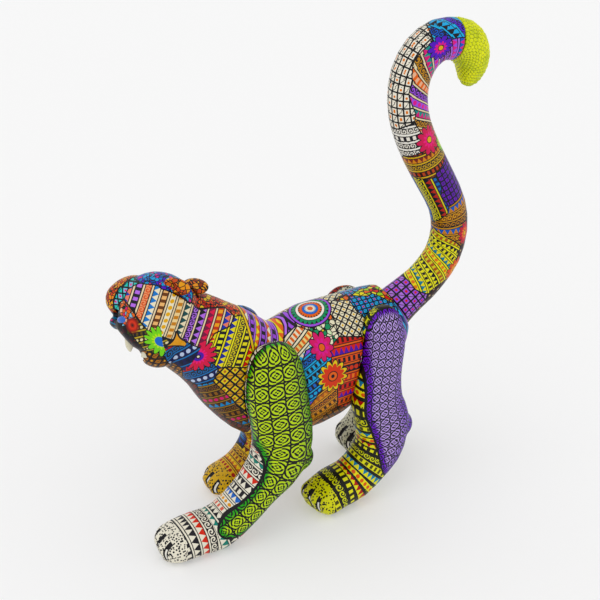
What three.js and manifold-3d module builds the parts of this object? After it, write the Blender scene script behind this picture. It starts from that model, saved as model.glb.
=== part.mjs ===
// A painted folk-art wildcat carved from soft wood: a walking body with its head turned,
// four separate legs held by dowels, and two ears and a tail that pull out on pegs.
// Millimetres, +Z up, the animal walks towards -Y and its left side is +X.
import * as THREE from 'three';
import { mergeVertices } from 'three/addons/utils/BufferGeometryUtils.js';
import Module from 'manifold-3d';

const wasm = await Module();
wasm.setup();

// ---------------------------------------------------------------- driving dimensions
const FIT = 0.3;                  // gap left between neighbouring pieces
const TRUNK_HALF_WIDTH = 35;
const TRUNK_SIDES = 28;
const LEG_SIDES = 20;
const TAIL_SIDES = 20;
const LEG_SQUARENESS = 2.5;
const LEG_X = 31.5;               // |x| of a leg's centre line
const DOWEL_RADIUS = 4;
const DOWEL_LENGTH = 24;
const TAIL_ROOT = new THREE.Vector3(0, 83.5, 140.5);
const TAIL_LEAN = 32;             // degrees that the tail's root axis rises above level
const TAIL_ROOT_RADIUS = 16.5;
const TAIL_RADIUS = 15.4;
const TENON_LENGTH = 30;
const TENON_IN_TAIL = 6;
const TENON_WIDTH = 12;
const TENON_HEIGHT = 14;
const SPIGOT_RADIUS = 4;
const SPIGOT_LENGTH = 12;
const HEAD_CENTRE = new THREE.Vector3(-9, -116, 180);
const HEAD_TURN = 50;             // degrees to the animal's right
const HEAD_TILT = 26;             // degrees that the crown leans to the right
const EAR_PEG_RADIUS = 2.5;
const EAR_PEG_LENGTH = 9;

// ---------------------------------------------------------------- colours of the paint
const PAINT = {
  body: 0xb9774a,
  ear: 0xe0701c,
  eye: 0x2f8fe8,
  fang: 0xe9e4d4,
  tongue: 0xc3262e,
  frontLeft: 0x49b529,
  frontRight: 0xe0b21f,
  hindLeft: 0x7a45c8,
  hindRight: 0xcfd0c4,
  dowel: 0xcaa878,
  tail: 0xd3c33a,
  tuft: 0xd8e815,
};

// ---------------------------------------------------------------- solids
const degrees = THREE.MathUtils.degToRad;

function solidFrom(geometry) {
  const bare = geometry.clone();
  for (const name of ['normal', 'uv']) {
    bare.deleteAttribute(name);
  }
  const merged = mergeVertices(bare, 1e-4);
  const vertProperties = new Float32Array(merged.attributes.position.array);
  const triVerts = new Uint32Array(merged.index.array);
  return new wasm.Manifold(new wasm.Mesh({ numProp: 3, vertProperties, triVerts }));
}

function geometryFrom(solid) {
  const mesh = solid.getMesh();
  const geometry = new THREE.BufferGeometry();
  geometry.setAttribute('position', new THREE.BufferAttribute(mesh.vertProperties, 3));
  geometry.setIndex(new THREE.BufferAttribute(mesh.triVerts, 1));
  return geometry;
}

function union(solids) {
  return solids.reduce((whole, next) => whole.add(next));
}

function cut(solid, tools) {
  return tools.reduce((rest, tool) => rest.subtract(tool), solid);
}

// An ellipsoid with its radii along X, Y and Z.
function ellipsoid(centre, radii, sides = 20, grow = 0) {
  const shape = new THREE.SphereGeometry(1, sides, Math.round(sides * 0.6));
  shape.rotateX(Math.PI / 2);
  shape.scale(radii[0] + grow, radii[1] + grow, radii[2] + grow);
  shape.translate(centre[0], centre[1], centre[2]);
  return solidFrom(shape);
}

// A round bar of constant radius from one point to another.
function bar(start, end, radius, sides = 16) {
  const from = new THREE.Vector3(...start);
  const to = new THREE.Vector3(...end);
  const length = from.distanceTo(to);
  const shape = new THREE.CylinderGeometry(radius, radius, length, sides);
  const along = to.clone().sub(from).normalize();
  const turn = new THREE.Quaternion().setFromUnitVectors(new THREE.Vector3(0, 1, 0), along);
  shape.applyQuaternion(turn);
  shape.translate(...from.add(to).multiplyScalar(0.5).toArray());
  return solidFrom(shape);
}

// A box from its centre and its full sizes, then turned about X through its centre.
function box(centre, size, turnX = 0) {
  const shape = new THREE.BoxGeometry(...size);
  shape.rotateX(degrees(turnX));
  shape.translate(...centre);
  return solidFrom(shape);
}

// The cosine or sine of a superellipse.
function roundedCos(value, square) {
  return Math.sign(value) * Math.abs(value) ** (2 / square);
}

// A closed limb: oval rings along a smooth centre line, with pointed ends closed by a pole.
// Each station is [x, y, z, half width, half depth] and the width lies along X. A square of 2
// gives ellipses, and more than 2 gives flatter faces with rounded corners.
function limb(stations, sides, grow = 0, steps = 2, square = 2) {
  const side = new THREE.Vector3(1, 0, 0);
  const centres = stations.map((s) => new THREE.Vector3(s[0], s[1], s[2]));
  const line = new THREE.CatmullRomCurve3(centres, false, 'centripetal');
  const sizes = new THREE.CatmullRomCurve3(
    stations.map((s) => new THREE.Vector3(s[3], s[4], 0)), false, 'catmullrom', 0.5);
  const rings = (stations.length - 1) * steps;
  const points = [];
  for (let i = 0; i <= rings; i += 1) {
    const t = i / rings;
    const centre = line.getPoint(t);
    const along = line.getTangent(t);
    const size = sizes.getPoint(t);
    const across = side.clone().addScaledVector(along, -side.dot(along)).normalize();
    const deep = new THREE.Vector3().crossVectors(along, across);
    const end = i === 0 ? -grow : i === rings ? grow : 0;
    for (let k = 0; k < sides; k += 1) {
      const angle = (k / sides) * 2 * Math.PI;
      const point = centre.clone().addScaledVector(along, end);
      point.addScaledVector(across, (size.x + grow) * roundedCos(Math.cos(angle), square));
      point.addScaledVector(deep, (size.y + grow) * roundedCos(Math.sin(angle), square));
      points.push(point.x, point.y, point.z);
    }
  }
  const first = line.getPoint(0).addScaledVector(line.getTangent(0), -grow);
  const last = line.getPoint(1).addScaledVector(line.getTangent(1), grow);
  points.push(...first.toArray(), ...last.toArray());
  const startPole = (rings + 1) * sides;
  const endPole = startPole + 1;
  const faces = [];
  for (let k = 0; k < sides; k += 1) {
    const next = (k + 1) % sides;
    faces.push(startPole, next, k);
    faces.push(endPole, rings * sides + k, rings * sides + next);
    for (let i = 0; i < rings; i += 1) {
      const a = i * sides + k;
      const b = i * sides + next;
      faces.push(a, b, b + sides, a, b + sides, a + sides);
    }
  }
  const geometry = new THREE.BufferGeometry();
  geometry.setAttribute('position', new THREE.Float32BufferAttribute(points, 3));
  geometry.setIndex(faces);
  return solidFrom(geometry);
}

// ---------------------------------------------------------------- trunk and neck
const W = TRUNK_HALF_WIDTH;
const trunkStations = [
  [0, 91, 132, 6, 7],
  [0, 88, 132, 17, 18],
  [0, 79.5, 131.5, W * 0.75, 28],
  [0, 66, 129, W * 0.88, 35],
  [0, 44, 123, W * 0.96, 42.5],
  [0, 16, 114.5, W, 50.5],
  [0, -14, 108, W, 48.5],
  [0, -38, 108, W * 0.93, 43],
  [0, -54, 109, W * 0.72, 30],
  [0, -60, 110, 8, 9],
];
const neckStations = [
  [0, -18, 100, 30, 44],
  [0, -34, 113, 33, 44],
  [-1, -50, 127, 31.5, 38.5],
  [-2, -72, 148, 29, 33],
  [-5, -92, 163, 27, 29.5],
  [-8, -108, 174, 24, 26],
];

const trunk = union([limb(trunkStations, TRUNK_SIDES), limb(neckStations, TRUNK_SIDES)]);

// ---------------------------------------------------------------- head, in its own frame
// The head is shaped looking towards -Y with its left side at +X, then turned and tilted.
const headPlace = new THREE.Matrix4()
  .makeRotationFromEuler(new THREE.Euler(0, degrees(-HEAD_TILT), degrees(-HEAD_TURN), 'ZYX'))
  .setPosition(HEAD_CENTRE);

function onHead(solid) {
  return solid.transform(headPlace.elements);
}

// A plate of constant width across X, from its outline in (y, z).
function sidePlate(outline, width) {
  const shape = new THREE.Shape(outline.map((p) => new THREE.Vector2(p[0], p[1])));
  const plate = new THREE.ExtrudeGeometry(shape, { depth: width, bevelEnabled: false });
  plate.translate(0, 0, -width / 2);
  const axes = [new THREE.Vector3(0, 1, 0), new THREE.Vector3(0, 0, 1), new THREE.Vector3(1, 0, 0)];
  plate.applyMatrix4(new THREE.Matrix4().makeBasis(...axes));
  return solidFrom(plate);
}

// Cranium, brow, muzzle and cheeks as one carved lump.
function skullForm(grow = 0) {
  const lumps = [
    [[0, 3, 1], [27.5, 31, 30], 24],
    [[0, -16, 8], [21, 19, 18], 20],
    [[0, -14, -9], [16, 14, 11], 20],
    [[0, 8, -24], [14, 15, 12], 20],
  ];
  for (const side of [1, -1]) {
    lumps.push([[side * 9, -22, 8], [11, 11, 12], 16]);
    lumps.push([[side * 8, -18, -11], [9, 9.5, 8.5], 16]);
    lumps.push([[side * 11, -2, -11.5], [14, 20, 15], 16]);
  }
  return union(lumps.map(([centre, radii, sides]) => ellipsoid(centre, radii, sides, grow)));
}

// The open mouth widens forwards between the palate and the hanging lower jaw.
const mouth = sidePlate([[-40, -19], [-8, -17], [8, -20], [9, -24], [-5, -37], [-40, -45]], 18);

// One fang: a stout cone that curves back a little, rooted in the jaw.
function fang(side, { across, forward, root, tip, lean, radius }, grow = 0) {
  const stations = [0, 0.3, 0.7, 1].map((t) => [
    side * across,
    -forward - lean * t * t,
    root + (tip - root) * t,
    radius * Math.sqrt(1.02 - t * t) * 0.9,
    radius * Math.sqrt(1.02 - t * t),
  ]);
  return limb(stations, 10, grow);
}

const UPPER_FANG = { across: 9.2, forward: 13.5, root: -13, tip: -24.5, lean: -2, radius: 4 };
const LOWER_FANG = { across: 7.8, forward: 0, root: -34, tip: -23.5, lean: 3, radius: 2.8 };

// The tongue lies on the lower jaw and lifts towards its tip.
const tongueStations = [
  [0, 12, -26, 2.5, 1.6],
  [0, 6, -26.5, 4, 2.4],
  [0, -4, -27.5, 4.4, 2.6],
  [0, -13, -26, 4.4, 2.2],
  [0, -20, -22.5, 2.4, 1.2],
];

// An eye is a shallow glossy bead let into its socket.
const EYE = { across: 15.2, back: -19, up: -3.5, radii: [3.6, 6.4, 4.2], tilt: 22, splay: 24 };

function eye(side, grow = 0) {
  const bead = ellipsoid([0, 0, 0], EYE.radii, 18, grow);
  const turn = new THREE.Euler(degrees(EYE.tilt), 0, degrees(-side * EYE.splay), 'ZYX');
  const place = new THREE.Matrix4().makeRotationFromEuler(turn);
  place.setPosition(side * EYE.across, EYE.back, EYE.up);
  return bead.transform(place.elements);
}

// An ear is a rounded cup on a round peg; its base is hollowed to sit on the skull.
const EAR = { across: 14.5, back: 21.5, up: 25.5, radii: [6, 10.5, 9.5], lean: 28 };

function earPlace(side) {
  const place = new THREE.Matrix4().makeRotationY(degrees(side * EAR.lean));
  return place.setPosition(side * EAR.across, EAR.back, EAR.up);
}

function earPeg(side, grow = 0) {
  const depth = EAR.radii[2] - 2 + EAR_PEG_LENGTH + grow;
  const peg = bar([0, 0, 0], [0, 0, -depth], EAR_PEG_RADIUS + grow, 14);
  return peg.transform(earPlace(side).elements);
}

function ear(side) {
  const shell = ellipsoid([0, 0, 0], EAR.radii, 18);
  const hollow = ellipsoid([side * 5.5, -3.5, 2.5], [3.6, 6.2, 6.2], 14);
  const cup = onHead(shell.subtract(hollow).transform(earPlace(side).elements));
  const neck = limb(neckStations, TRUNK_SIDES, FIT);
  return cut(cup, [onHead(skullForm(FIT)), neck]).add(onHead(earPeg(side)));
}

// ---------------------------------------------------------------- legs
// Stations run from the shoulder or hip down to the toes, for a leg on the left side.
const shoulder = [
  [LEG_X, -38, 158, 4, 6],
  [LEG_X, -38, 152, 10.5, 15],
  [LEG_X, -38, 138, 14.5, 21.5],
  [LEG_X + 0.5, -37, 118, 15.5, 24],
];
// The hip of the leg that carries the weight stands higher than the other one.
const hip = (top) => [
  [LEG_X - 7, 57, top, 4, 5],
  [LEG_X - 5, 56.5, top - 5, 10, 11.5],
  [LEG_X - 1, 55.5, top - 16, 14, 16],
  [LEG_X, 55, 131, 15, 17.5],
];
const LEGS = {
  front_left: {
    side: 1,
    paint: PAINT.frontLeft,
    stations: [...shoulder,
      [33, -34, 95, 15.5, 23.5],
      [34, -33, 76, 15.5, 24],
      [35, -38, 60, 16, 23],
      [36, -53, 43, 16, 18],
      [36, -72, 26.5, 16.5, 15],
      [35.5, -90, 15.5, 17, 16],
      [34, -105, 14, 18, 14.5],
      [33, -118, 12, 19, 13],
      [32.5, -129, 9.5, 18, 11],
      [32, -136, 7.5, 11, 7]],
    heel: [34, -23, 57, 13, 15.5, 12],
    dowel: [-38, 122],
  },
  front_right: {
    side: -1,
    paint: PAINT.frontRight,
    stations: [...shoulder,
      [32, -32, 95, 15.5, 22.5],
      [31.5, -28, 76, 15.5, 22],
      [30.5, -21, 57, 15.5, 18.5],
      [30, -19, 40, 15.5, 16],
      [29, -27, 25, 15.5, 15],
      [28.5, -38, 15, 16, 14],
      [28, -50, 11, 17, 11.5],
      [28, -60, 9, 16.5, 9.5],
      [28, -68, 6.5, 10, 5.5]],
    heel: [31, -11, 57, 13, 12, 12],
    dowel: [-38, 122],
  },
  hind_left: {
    side: 1,
    paint: PAINT.hindLeft,
    stations: [...hip(162),
      [31.5, 52, 108, 15.5, 19.5],
      [32, 51, 86, 15.5, 21],
      [32, 55, 66, 15.5, 22.5],
      [31.5, 54, 48, 15.5, 20],
      [31, 45, 32, 15.5, 18],
      [31, 29, 18.5, 16.5, 16.5],
      [32, 13, 15.5, 18.5, 14.5],
      [33, 2, 11.5, 19, 12.5],
      [33.5, -6, 9.5, 17.5, 10.5],
      [34, -11.5, 7.5, 10, 6]],
    heel: [31, 68, 58, 12.5, 14.5, 12],
    dowel: [55, 128],
  },
  hind_right: {
    side: -1,
    paint: PAINT.hindRight,
    stations: [...hip(153),
      [31.5, 58, 108, 15.5, 19],
      [31.5, 67, 86, 15, 18.5],
      [31.5, 77, 66, 15, 18.5],
      [31, 83, 47, 15, 17],
      [31, 82, 31, 15, 16],
      [31, 76, 20, 16.5, 14.5],
      [31, 68, 12.5, 17.5, 13.5],
      [31, 61, 10.5, 16.5, 11],
      [31, 55, 8, 10, 6.5]],
    heel: [31, 91, 58, 12.5, 11, 12],
    dowel: [55, 128],
  },
};

const MIRROR = new THREE.Matrix4().makeScale(-1, 1, 1);

// The leg's outer form, cut flat where it stands.
function legForm({ side, stations, heel }, grow = 0) {
  const lobe = ellipsoid(heel.slice(0, 3), heel.slice(3), 18, grow);
  const floor = box([0, 0, -50], [200, 400, 100]);
  const leg = limb(stations, LEG_SIDES, grow, 2, LEG_SQUARENESS).add(lobe).subtract(floor);
  return side < 0 ? leg.transform(MIRROR.elements) : leg;
}

// A hidden dowel crosses from the body's core into the leg.
function dowel({ side, dowel: [y, z] }, grow = 0) {
  const middle = LEG_X - 12;
  const reach = DOWEL_LENGTH / 2 + grow;
  return bar([side * (middle - reach), y, z], [side * (middle + reach), y, z], DOWEL_RADIUS + grow);
}

// ---------------------------------------------------------------- tail and tuft
const lean = degrees(TAIL_LEAN);
const tailAxis = new THREE.Vector3(0, Math.cos(lean), Math.sin(lean));
const alongTail = (distance) => TAIL_ROOT.clone().addScaledVector(tailAxis, distance);
const ringAt = (distance, radius) => [...alongTail(distance).toArray(), radius, radius];
const R = TAIL_RADIUS;
const tailStations = [
  ringAt(0, TAIL_ROOT_RADIUS),
  ringAt(7, TAIL_ROOT_RADIUS - 1),
  ringAt(18, R - 0.6),
  ringAt(30, R - 1),
  [0, 118.5, 164.5, R - 1.2, R - 1.2],
  [0, 128.5, 177, R - 1.2, R - 1.2],
  [0, 133.5, 198, R - 1.4, R - 1.4],
  [0, 130, 221, R - 1, R - 1],
  [0, 119, 244, R - 0.4, R - 0.4],
  [0, 106, 268, R, R],
  [0, 95.5, 292, R, R],
  [0, 90.5, 314, R, R],
  [0, 92, 333, R, R],
  [0, 101, 348, R, R],
  [0, 115, 355.5, R, R],
  [0, 130, 354.5, R, R],
];
const tuftStations = [
  [0, 124, 355.6, R, R],
  [0, 136, 352, R, R],
  [0, 142, 346.5, R - 0.5, R - 0.5],
  [0, 146, 338, R - 2, R - 2],
  [0, 146, 329, R - 4.5, R - 4.5],
  [0, 144, 321, R - 8.5, R - 8.5],
  [0, 142.5, 317, 2, 2],
];
const tuftAxis = new THREE.Vector3(0, 0.985, -0.17).normalize();
const tailEnd = new THREE.Vector3(0, 129, 354.7);

// Everything on the far side of a plane, as a large slab turned about X.
function beyond(point, axis, size = 120) {
  const turn = THREE.MathUtils.radToDeg(Math.atan2(axis.z, axis.y));
  const centre = point.clone().addScaledVector(axis, size / 2);
  return box(centre.toArray(), [size, size, size], turn);
}

// The tenon starts inside the tail and reaches into the rump.
function tenon(grow = 0) {
  const length = TENON_IN_TAIL + TENON_LENGTH + grow;
  const centre = alongTail(TENON_IN_TAIL - length / 2);
  const size = [TENON_WIDTH + 2 * grow, length, TENON_HEIGHT + 2 * grow];
  return box(centre.toArray(), size, TAIL_LEAN);
}

function spigot(grow = 0) {
  const from = tailEnd.clone().addScaledVector(tuftAxis, -4);
  const to = tailEnd.clone().addScaledVector(tuftAxis, SPIGOT_LENGTH - 1 + grow);
  return bar(from.toArray(), to.toArray(), SPIGOT_RADIUS + grow);
}

const tailRod = limb(tailStations, TAIL_SIDES);
const tailEndPlane = tailEnd.clone().addScaledVector(tuftAxis, -1);
const tail = cut(tailRod, [beyond(tailEndPlane, tuftAxis)]).add(tenon()).add(spigot());
const tuftStart = tailEndPlane.clone().addScaledVector(tuftAxis, FIT);
const tuft = cut(limb(tuftStations, TAIL_SIDES), [beyond(tuftStart, tuftAxis.clone().negate()), spigot(FIT)]);

// ---------------------------------------------------------------- body
const tongue = onHead(limb(tongueStations, 14));
const tonguePocket = onHead(limb(tongueStations, 14, FIT));
const SIDES = { left: 1, right: -1 };

const head = onHead(skullForm().subtract(mouth));
const earPegHoles = Object.values(SIDES).map((s) => onHead(earPeg(s, FIT)));
const eyeSockets = Object.values(SIDES).map((s) => onHead(eye(s, FIT)));
const fangSockets = Object.values(SIDES).flatMap((s) => [
  onHead(fang(s, UPPER_FANG, FIT)), onHead(fang(s, LOWER_FANG, FIT)),
]);
const legPockets = Object.values(LEGS).flatMap((leg) => [legForm(leg, FIT), dowel(leg, FIT)]);
const body = cut(trunk.add(head), [
  ...legPockets, ...earPegHoles, ...eyeSockets, ...fangSockets, tonguePocket,
  beyond(alongTail(-FIT), tailAxis), tenon(FIT),
]);

// ---------------------------------------------------------------- the assembled figure
const figure = new THREE.Group();

function place(name, solid, colour, roughness = 0.28) {
  const material = new THREE.MeshStandardMaterial({ color: colour, roughness, metalness: 0 });
  const mesh = new THREE.Mesh(geometryFrom(solid), material);
  mesh.name = name;
  figure.add(mesh);
}

place('body', body, PAINT.body);
for (const [name, side] of Object.entries(SIDES)) {
  place(`${name}_ear`, ear(side), PAINT.ear);
  place(`${name}_eye`, onHead(eye(side)), PAINT.eye, 0.08);
  place(`${name}_upper_fang`, onHead(fang(side, UPPER_FANG)), PAINT.fang);
  place(`${name}_lower_fang`, onHead(fang(side, LOWER_FANG)), PAINT.fang);
}
place('tongue', tongue, PAINT.tongue);
for (const [name, leg] of Object.entries(LEGS)) {
  place(`${name}_leg`, cut(legForm(leg), [dowel(leg, FIT)]), leg.paint);
  place(`${name}_dowel`, dowel(leg), PAINT.dowel, 0.7);
}
place('tail', tail, PAINT.tail);
place('tail_tuft', tuft, PAINT.tuft);

const bounds = new THREE.Box3().setFromObject(figure);
const middle = bounds.getCenter(new THREE.Vector3());
for (const mesh of figure.children) {
  mesh.geometry.translate(-middle.x, -middle.y, -bounds.min.z);
}

export default figure;
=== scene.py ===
# %% [markdown]
# # A carved and painted wildcat
#
# The real figure is carved from pieces of light softwood, sanded, painted by hand with
# acrylic colours and lines as thin as a hair, and then varnished. The working model already
# holds every piece at its real size. This lesson dresses it: each solid gets an even skin
# of small faces and is sanded smooth, a few places are eased by a millimetre or two, the toes
# and the bumps are carved in, and then the paint is laid on as procedural materials.
#
# Everything is measured in mm, as a carver would, and turned to metres only where Blender
# needs it. The animal looks towards -Y, its left side is +X, and it stands on Z = 0.

import math

import bpy
import numpy as np
from mathutils import Euler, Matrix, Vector


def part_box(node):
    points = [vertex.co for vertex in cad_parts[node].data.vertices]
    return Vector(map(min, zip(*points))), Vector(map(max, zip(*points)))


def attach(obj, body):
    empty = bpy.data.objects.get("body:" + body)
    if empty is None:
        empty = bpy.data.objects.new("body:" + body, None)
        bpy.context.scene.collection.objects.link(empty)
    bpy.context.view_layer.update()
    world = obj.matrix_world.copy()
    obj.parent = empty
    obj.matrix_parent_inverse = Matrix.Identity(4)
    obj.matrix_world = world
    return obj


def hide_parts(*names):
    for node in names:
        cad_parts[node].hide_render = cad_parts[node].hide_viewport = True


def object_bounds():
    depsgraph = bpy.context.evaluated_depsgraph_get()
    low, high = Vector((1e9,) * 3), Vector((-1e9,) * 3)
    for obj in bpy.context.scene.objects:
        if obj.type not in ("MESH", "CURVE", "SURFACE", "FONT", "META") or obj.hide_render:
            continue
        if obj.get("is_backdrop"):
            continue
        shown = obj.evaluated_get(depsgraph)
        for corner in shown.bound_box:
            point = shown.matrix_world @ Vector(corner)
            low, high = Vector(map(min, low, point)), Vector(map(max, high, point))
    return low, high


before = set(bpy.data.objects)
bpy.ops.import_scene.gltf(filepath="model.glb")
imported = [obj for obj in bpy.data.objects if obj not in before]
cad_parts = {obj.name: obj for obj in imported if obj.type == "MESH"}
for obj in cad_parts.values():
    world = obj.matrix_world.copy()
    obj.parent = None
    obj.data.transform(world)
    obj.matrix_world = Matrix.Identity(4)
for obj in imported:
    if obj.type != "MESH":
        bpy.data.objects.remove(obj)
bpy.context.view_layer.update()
MM = 0.001

# %% [markdown]
# ## Camera, light and floor
#
# A product table: a pale sheet that fills the view, a bright even surround, and one large
# soft light from above that gives the varnish something to reflect. The camera is a long
# lens, so that the long tail keeps its true proportions. The plain view transform is used
# because the paints are chosen by their hex values and should come out as chosen.

# %% Camera
AZIMUTH = math.radians(62)
ELEVATION = math.radians(28)
TARGET = Vector((-2.0, -6.6, 170)) * MM
DISTANCE = 1.2
VIEW_WIDTH = 0.45
SENSOR_WIDTH = 36

toward_camera = Vector((
    math.sin(AZIMUTH) * math.cos(ELEVATION),
    -math.cos(AZIMUTH) * math.cos(ELEVATION),
    math.sin(ELEVATION),
))
lens = bpy.data.cameras.new("table_camera")
lens.sensor_width = SENSOR_WIDTH
lens.lens = SENSOR_WIDTH * DISTANCE / VIEW_WIDTH
camera = bpy.data.objects.new("table_camera", lens)
camera.location = TARGET + toward_camera * DISTANCE
camera.rotation_mode = "QUATERNION"
camera.rotation_quaternion = (-toward_camera).to_track_quat("-Z", "Y")
scene = bpy.context.scene
scene.collection.objects.link(camera)
scene.camera = camera
scene.view_settings.view_transform = "Standard"
print("camera at", [round(value, 3) for value in camera.location])

# %% [markdown]
# Every material below is a small tree of nodes. Paint makers give colours as sRGB values, and
# Blender mixes light in linear values, so one function turns the first into the second. One
# more function adds a node: its inputs are given in order, and each may be a link, a hex
# colour or a plain value.

# %% Nodes and colours
def linear(hex_colour):
    """A colour written as sRGB hex, turned into the linear values that Blender mixes."""
    channels = [int(hex_colour[i:i + 2], 16) / 255 for i in (1, 3, 5)]
    curve = [c / 12.92 if c <= 0.04045 else ((c + 0.055) / 1.055) ** 2.4 for c in channels]
    return (*curve, 1.0)


def add(tree, kind, *values, **settings):
    """Adds a node with its settings and its links, and returns its first output."""
    node = tree.nodes.new("ShaderNode" + kind)
    for name, setting in settings.items():
        setattr(node, name, setting)
    open_inputs = [socket for socket in node.inputs if socket.enabled]
    for socket, value in zip(open_inputs, values):
        if isinstance(value, bpy.types.NodeSocket):
            tree.links.new(value, socket)
        elif isinstance(value, str):
            socket.default_value = linear(value)
        elif value is not None:
            socket.default_value = value
    return next((socket for socket in node.outputs if socket.enabled), None)


def new_material(name):
    """An empty material and its node tree."""
    material = bpy.data.materials.new(name)
    material.use_nodes = True
    material.node_tree.nodes.clear()
    return material, material.node_tree


# %% [markdown]
# The surround does most of the lighting, so the shadows stay faint. The table is a matt
# acrylic sheet with lamps under it, which lifts the shadows a little more.

# %% Surround, light and floor
SURROUND_STRENGTH = 0.92
KEY_STRENGTH = 0.34
KEY_SPREAD = math.radians(60)
KEY_DIRECTION = Vector((-0.2, 0.6, -1.0))
TABLE_GLOW = 0.28
TABLE_HALF = 4.0

world = bpy.data.worlds.new("white_room")
world.use_nodes = True
world.node_tree.nodes["Background"].inputs["Color"].default_value = linear("#FFFFFF")
world.node_tree.nodes["Background"].inputs["Strength"].default_value = SURROUND_STRENGTH
scene.world = world

sun = bpy.data.lights.new("wide_soft_key", "SUN")
sun.energy = KEY_STRENGTH
sun.angle = KEY_SPREAD
key = bpy.data.objects.new("wide_soft_key", sun)
key.rotation_mode = "QUATERNION"
key.rotation_quaternion = KEY_DIRECTION.to_track_quat("-Z", "Y")
scene.collection.objects.link(key)

sheet, tree = new_material("matt_acrylic_sheet_lit_from_below")
shader = add(tree, "BsdfPrincipled").node
shader.inputs["Base Color"].default_value = linear("#D2D2D2")
shader.inputs["Emission Color"].default_value = linear("#FFFFFF")
shader.inputs["Emission Strength"].default_value = TABLE_GLOW
shader.inputs["Roughness"].default_value = 0.9
shader.inputs["Specular IOR Level"].default_value = 0.1
add(tree, "OutputMaterial", shader.outputs["BSDF"])

floor_mesh = bpy.data.meshes.new("floor")
corners = [(x, y, 0) for x, y in ((-1, -1), (1, -1), (1, 1), (-1, 1))]
floor_mesh.from_pydata([Vector(corner) * TABLE_HALF for corner in corners], [], [(0, 1, 2, 3)])
floor_mesh.materials.append(sheet)
floor = bpy.data.objects.new("floor", floor_mesh)
scene.collection.objects.link(floor)
floor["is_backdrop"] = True
print("table, light and surround are in place")

# %% [markdown]
# ## Carving the pieces
#
# A carver roughs a block out and then sands it until no flat is left. The same happens
# here: a copy of each working solid is given an even skin of small square faces, and a
# smoothing pass rounds the facets away. The size stays that of the solid. A remesh was chosen
# because it gives faces of one size everywhere, which later carving and stored values need.

# %% Carving helper
def carve(node, name, body, grain, passes):
    """A sanded copy of a working solid that takes its place. Grain is the face size in mm."""
    block = bpy.data.objects.new(name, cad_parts[node].data.copy())
    scene.collection.objects.link(block)
    block.data.materials.clear()
    skin = block.modifiers.new("even skin", "REMESH")
    skin.mode = "VOXEL"
    skin.voxel_size = grain * MM
    sanding = block.modifiers.new("sanding", "SMOOTH")
    sanding.factor = 0.5
    sanding.iterations = passes
    depsgraph = bpy.context.evaluated_depsgraph_get()
    carved = bpy.data.meshes.new_from_object(block.evaluated_get(depsgraph))
    block.modifiers.clear()
    block.data = carved
    carved.polygons.foreach_set("use_smooth", np.ones(len(carved.polygons), bool))
    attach(block, body)
    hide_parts(node)
    print(f"{name}: {len(carved.polygons)} faces")
    return block


def points_of(piece):
    """All points of a piece, in mm."""
    flat = np.empty(len(piece.data.vertices) * 3)
    piece.data.vertices.foreach_get("co", flat)
    return flat.reshape(-1, 3) / MM


def normals_of(piece):
    """The direction that the surface faces at each point."""
    flat = np.empty(len(piece.data.vertices) * 3)
    piece.data.vertices.foreach_get("normal", flat)
    return flat.reshape(-1, 3)


def move_points(piece, points):
    """Puts a piece's points, given in mm, where they belong."""
    piece.data.vertices.foreach_set("co", (points * MM).ravel())
    piece.data.update()


def keep_values(piece, name, values):
    """Stores one number, or three, for each point, for the paint to read."""
    kind, field = ("FLOAT", "value") if values.ndim == 1 else ("FLOAT_VECTOR", "vector")
    layer = piece.data.attributes.new(name, kind, "POINT")
    layer.data.foreach_set(field, values.astype(np.float32).ravel())


# %% [markdown]
# Small pieces get small faces. Each row of the list below says how large the faces are, in
# mm, and how many rounds of sanding follow.

# %% Carving every piece
SIDES = ("left", "right")
LEG_NAMES = ("front_left", "front_right", "hind_left", "hind_right")
GRAIN = {
    "body": (1.15, 9),
    "ear": (0.7, 5),
    "eye": (0.35, 4),
    "fang": (0.4, 4),
    "tongue": (0.5, 6),
    "tail": (1.0, 8),
    "tuft": (0.7, 6),
    "leg": (0.95, 22),
}

body = carve("body", "carved_body", "figure", *GRAIN["body"])
ears = {side: carve(f"{side}_ear", f"carved_{side}_ear", f"{side}_ear", *GRAIN["ear"])
        for side in SIDES}
eyes = {side: carve(f"{side}_eye", f"glass_{side}_eye", "figure", *GRAIN["eye"])
        for side in SIDES}
fangs = {f"{side}_{row}": carve(f"{side}_{row}_fang", f"carved_{side}_{row}_fang", "figure",
                                *GRAIN["fang"])
         for side in SIDES for row in ("upper", "lower")}
tongue = carve("tongue", "carved_tongue", "figure", *GRAIN["tongue"])
tail = carve("tail", "carved_tail", "tail", *GRAIN["tail"])
tuft = carve("tail_tuft", "carved_tail_tuft", "tail", *GRAIN["tuft"])
legs = {name: carve(f"{name}_leg", f"carved_{name}_leg", "figure", *GRAIN["leg"])
        for name in LEG_NAMES}

# %% [markdown]
# A carver turns the finished block in the hand and takes a little off here and there. Each
# correction draws everything near its centre a short way in one direction and fades out
# smoothly, so pieces that meet there move together and their joints stay closed. Nothing is
# lifted at the floor, so the soles stay flat.

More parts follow.
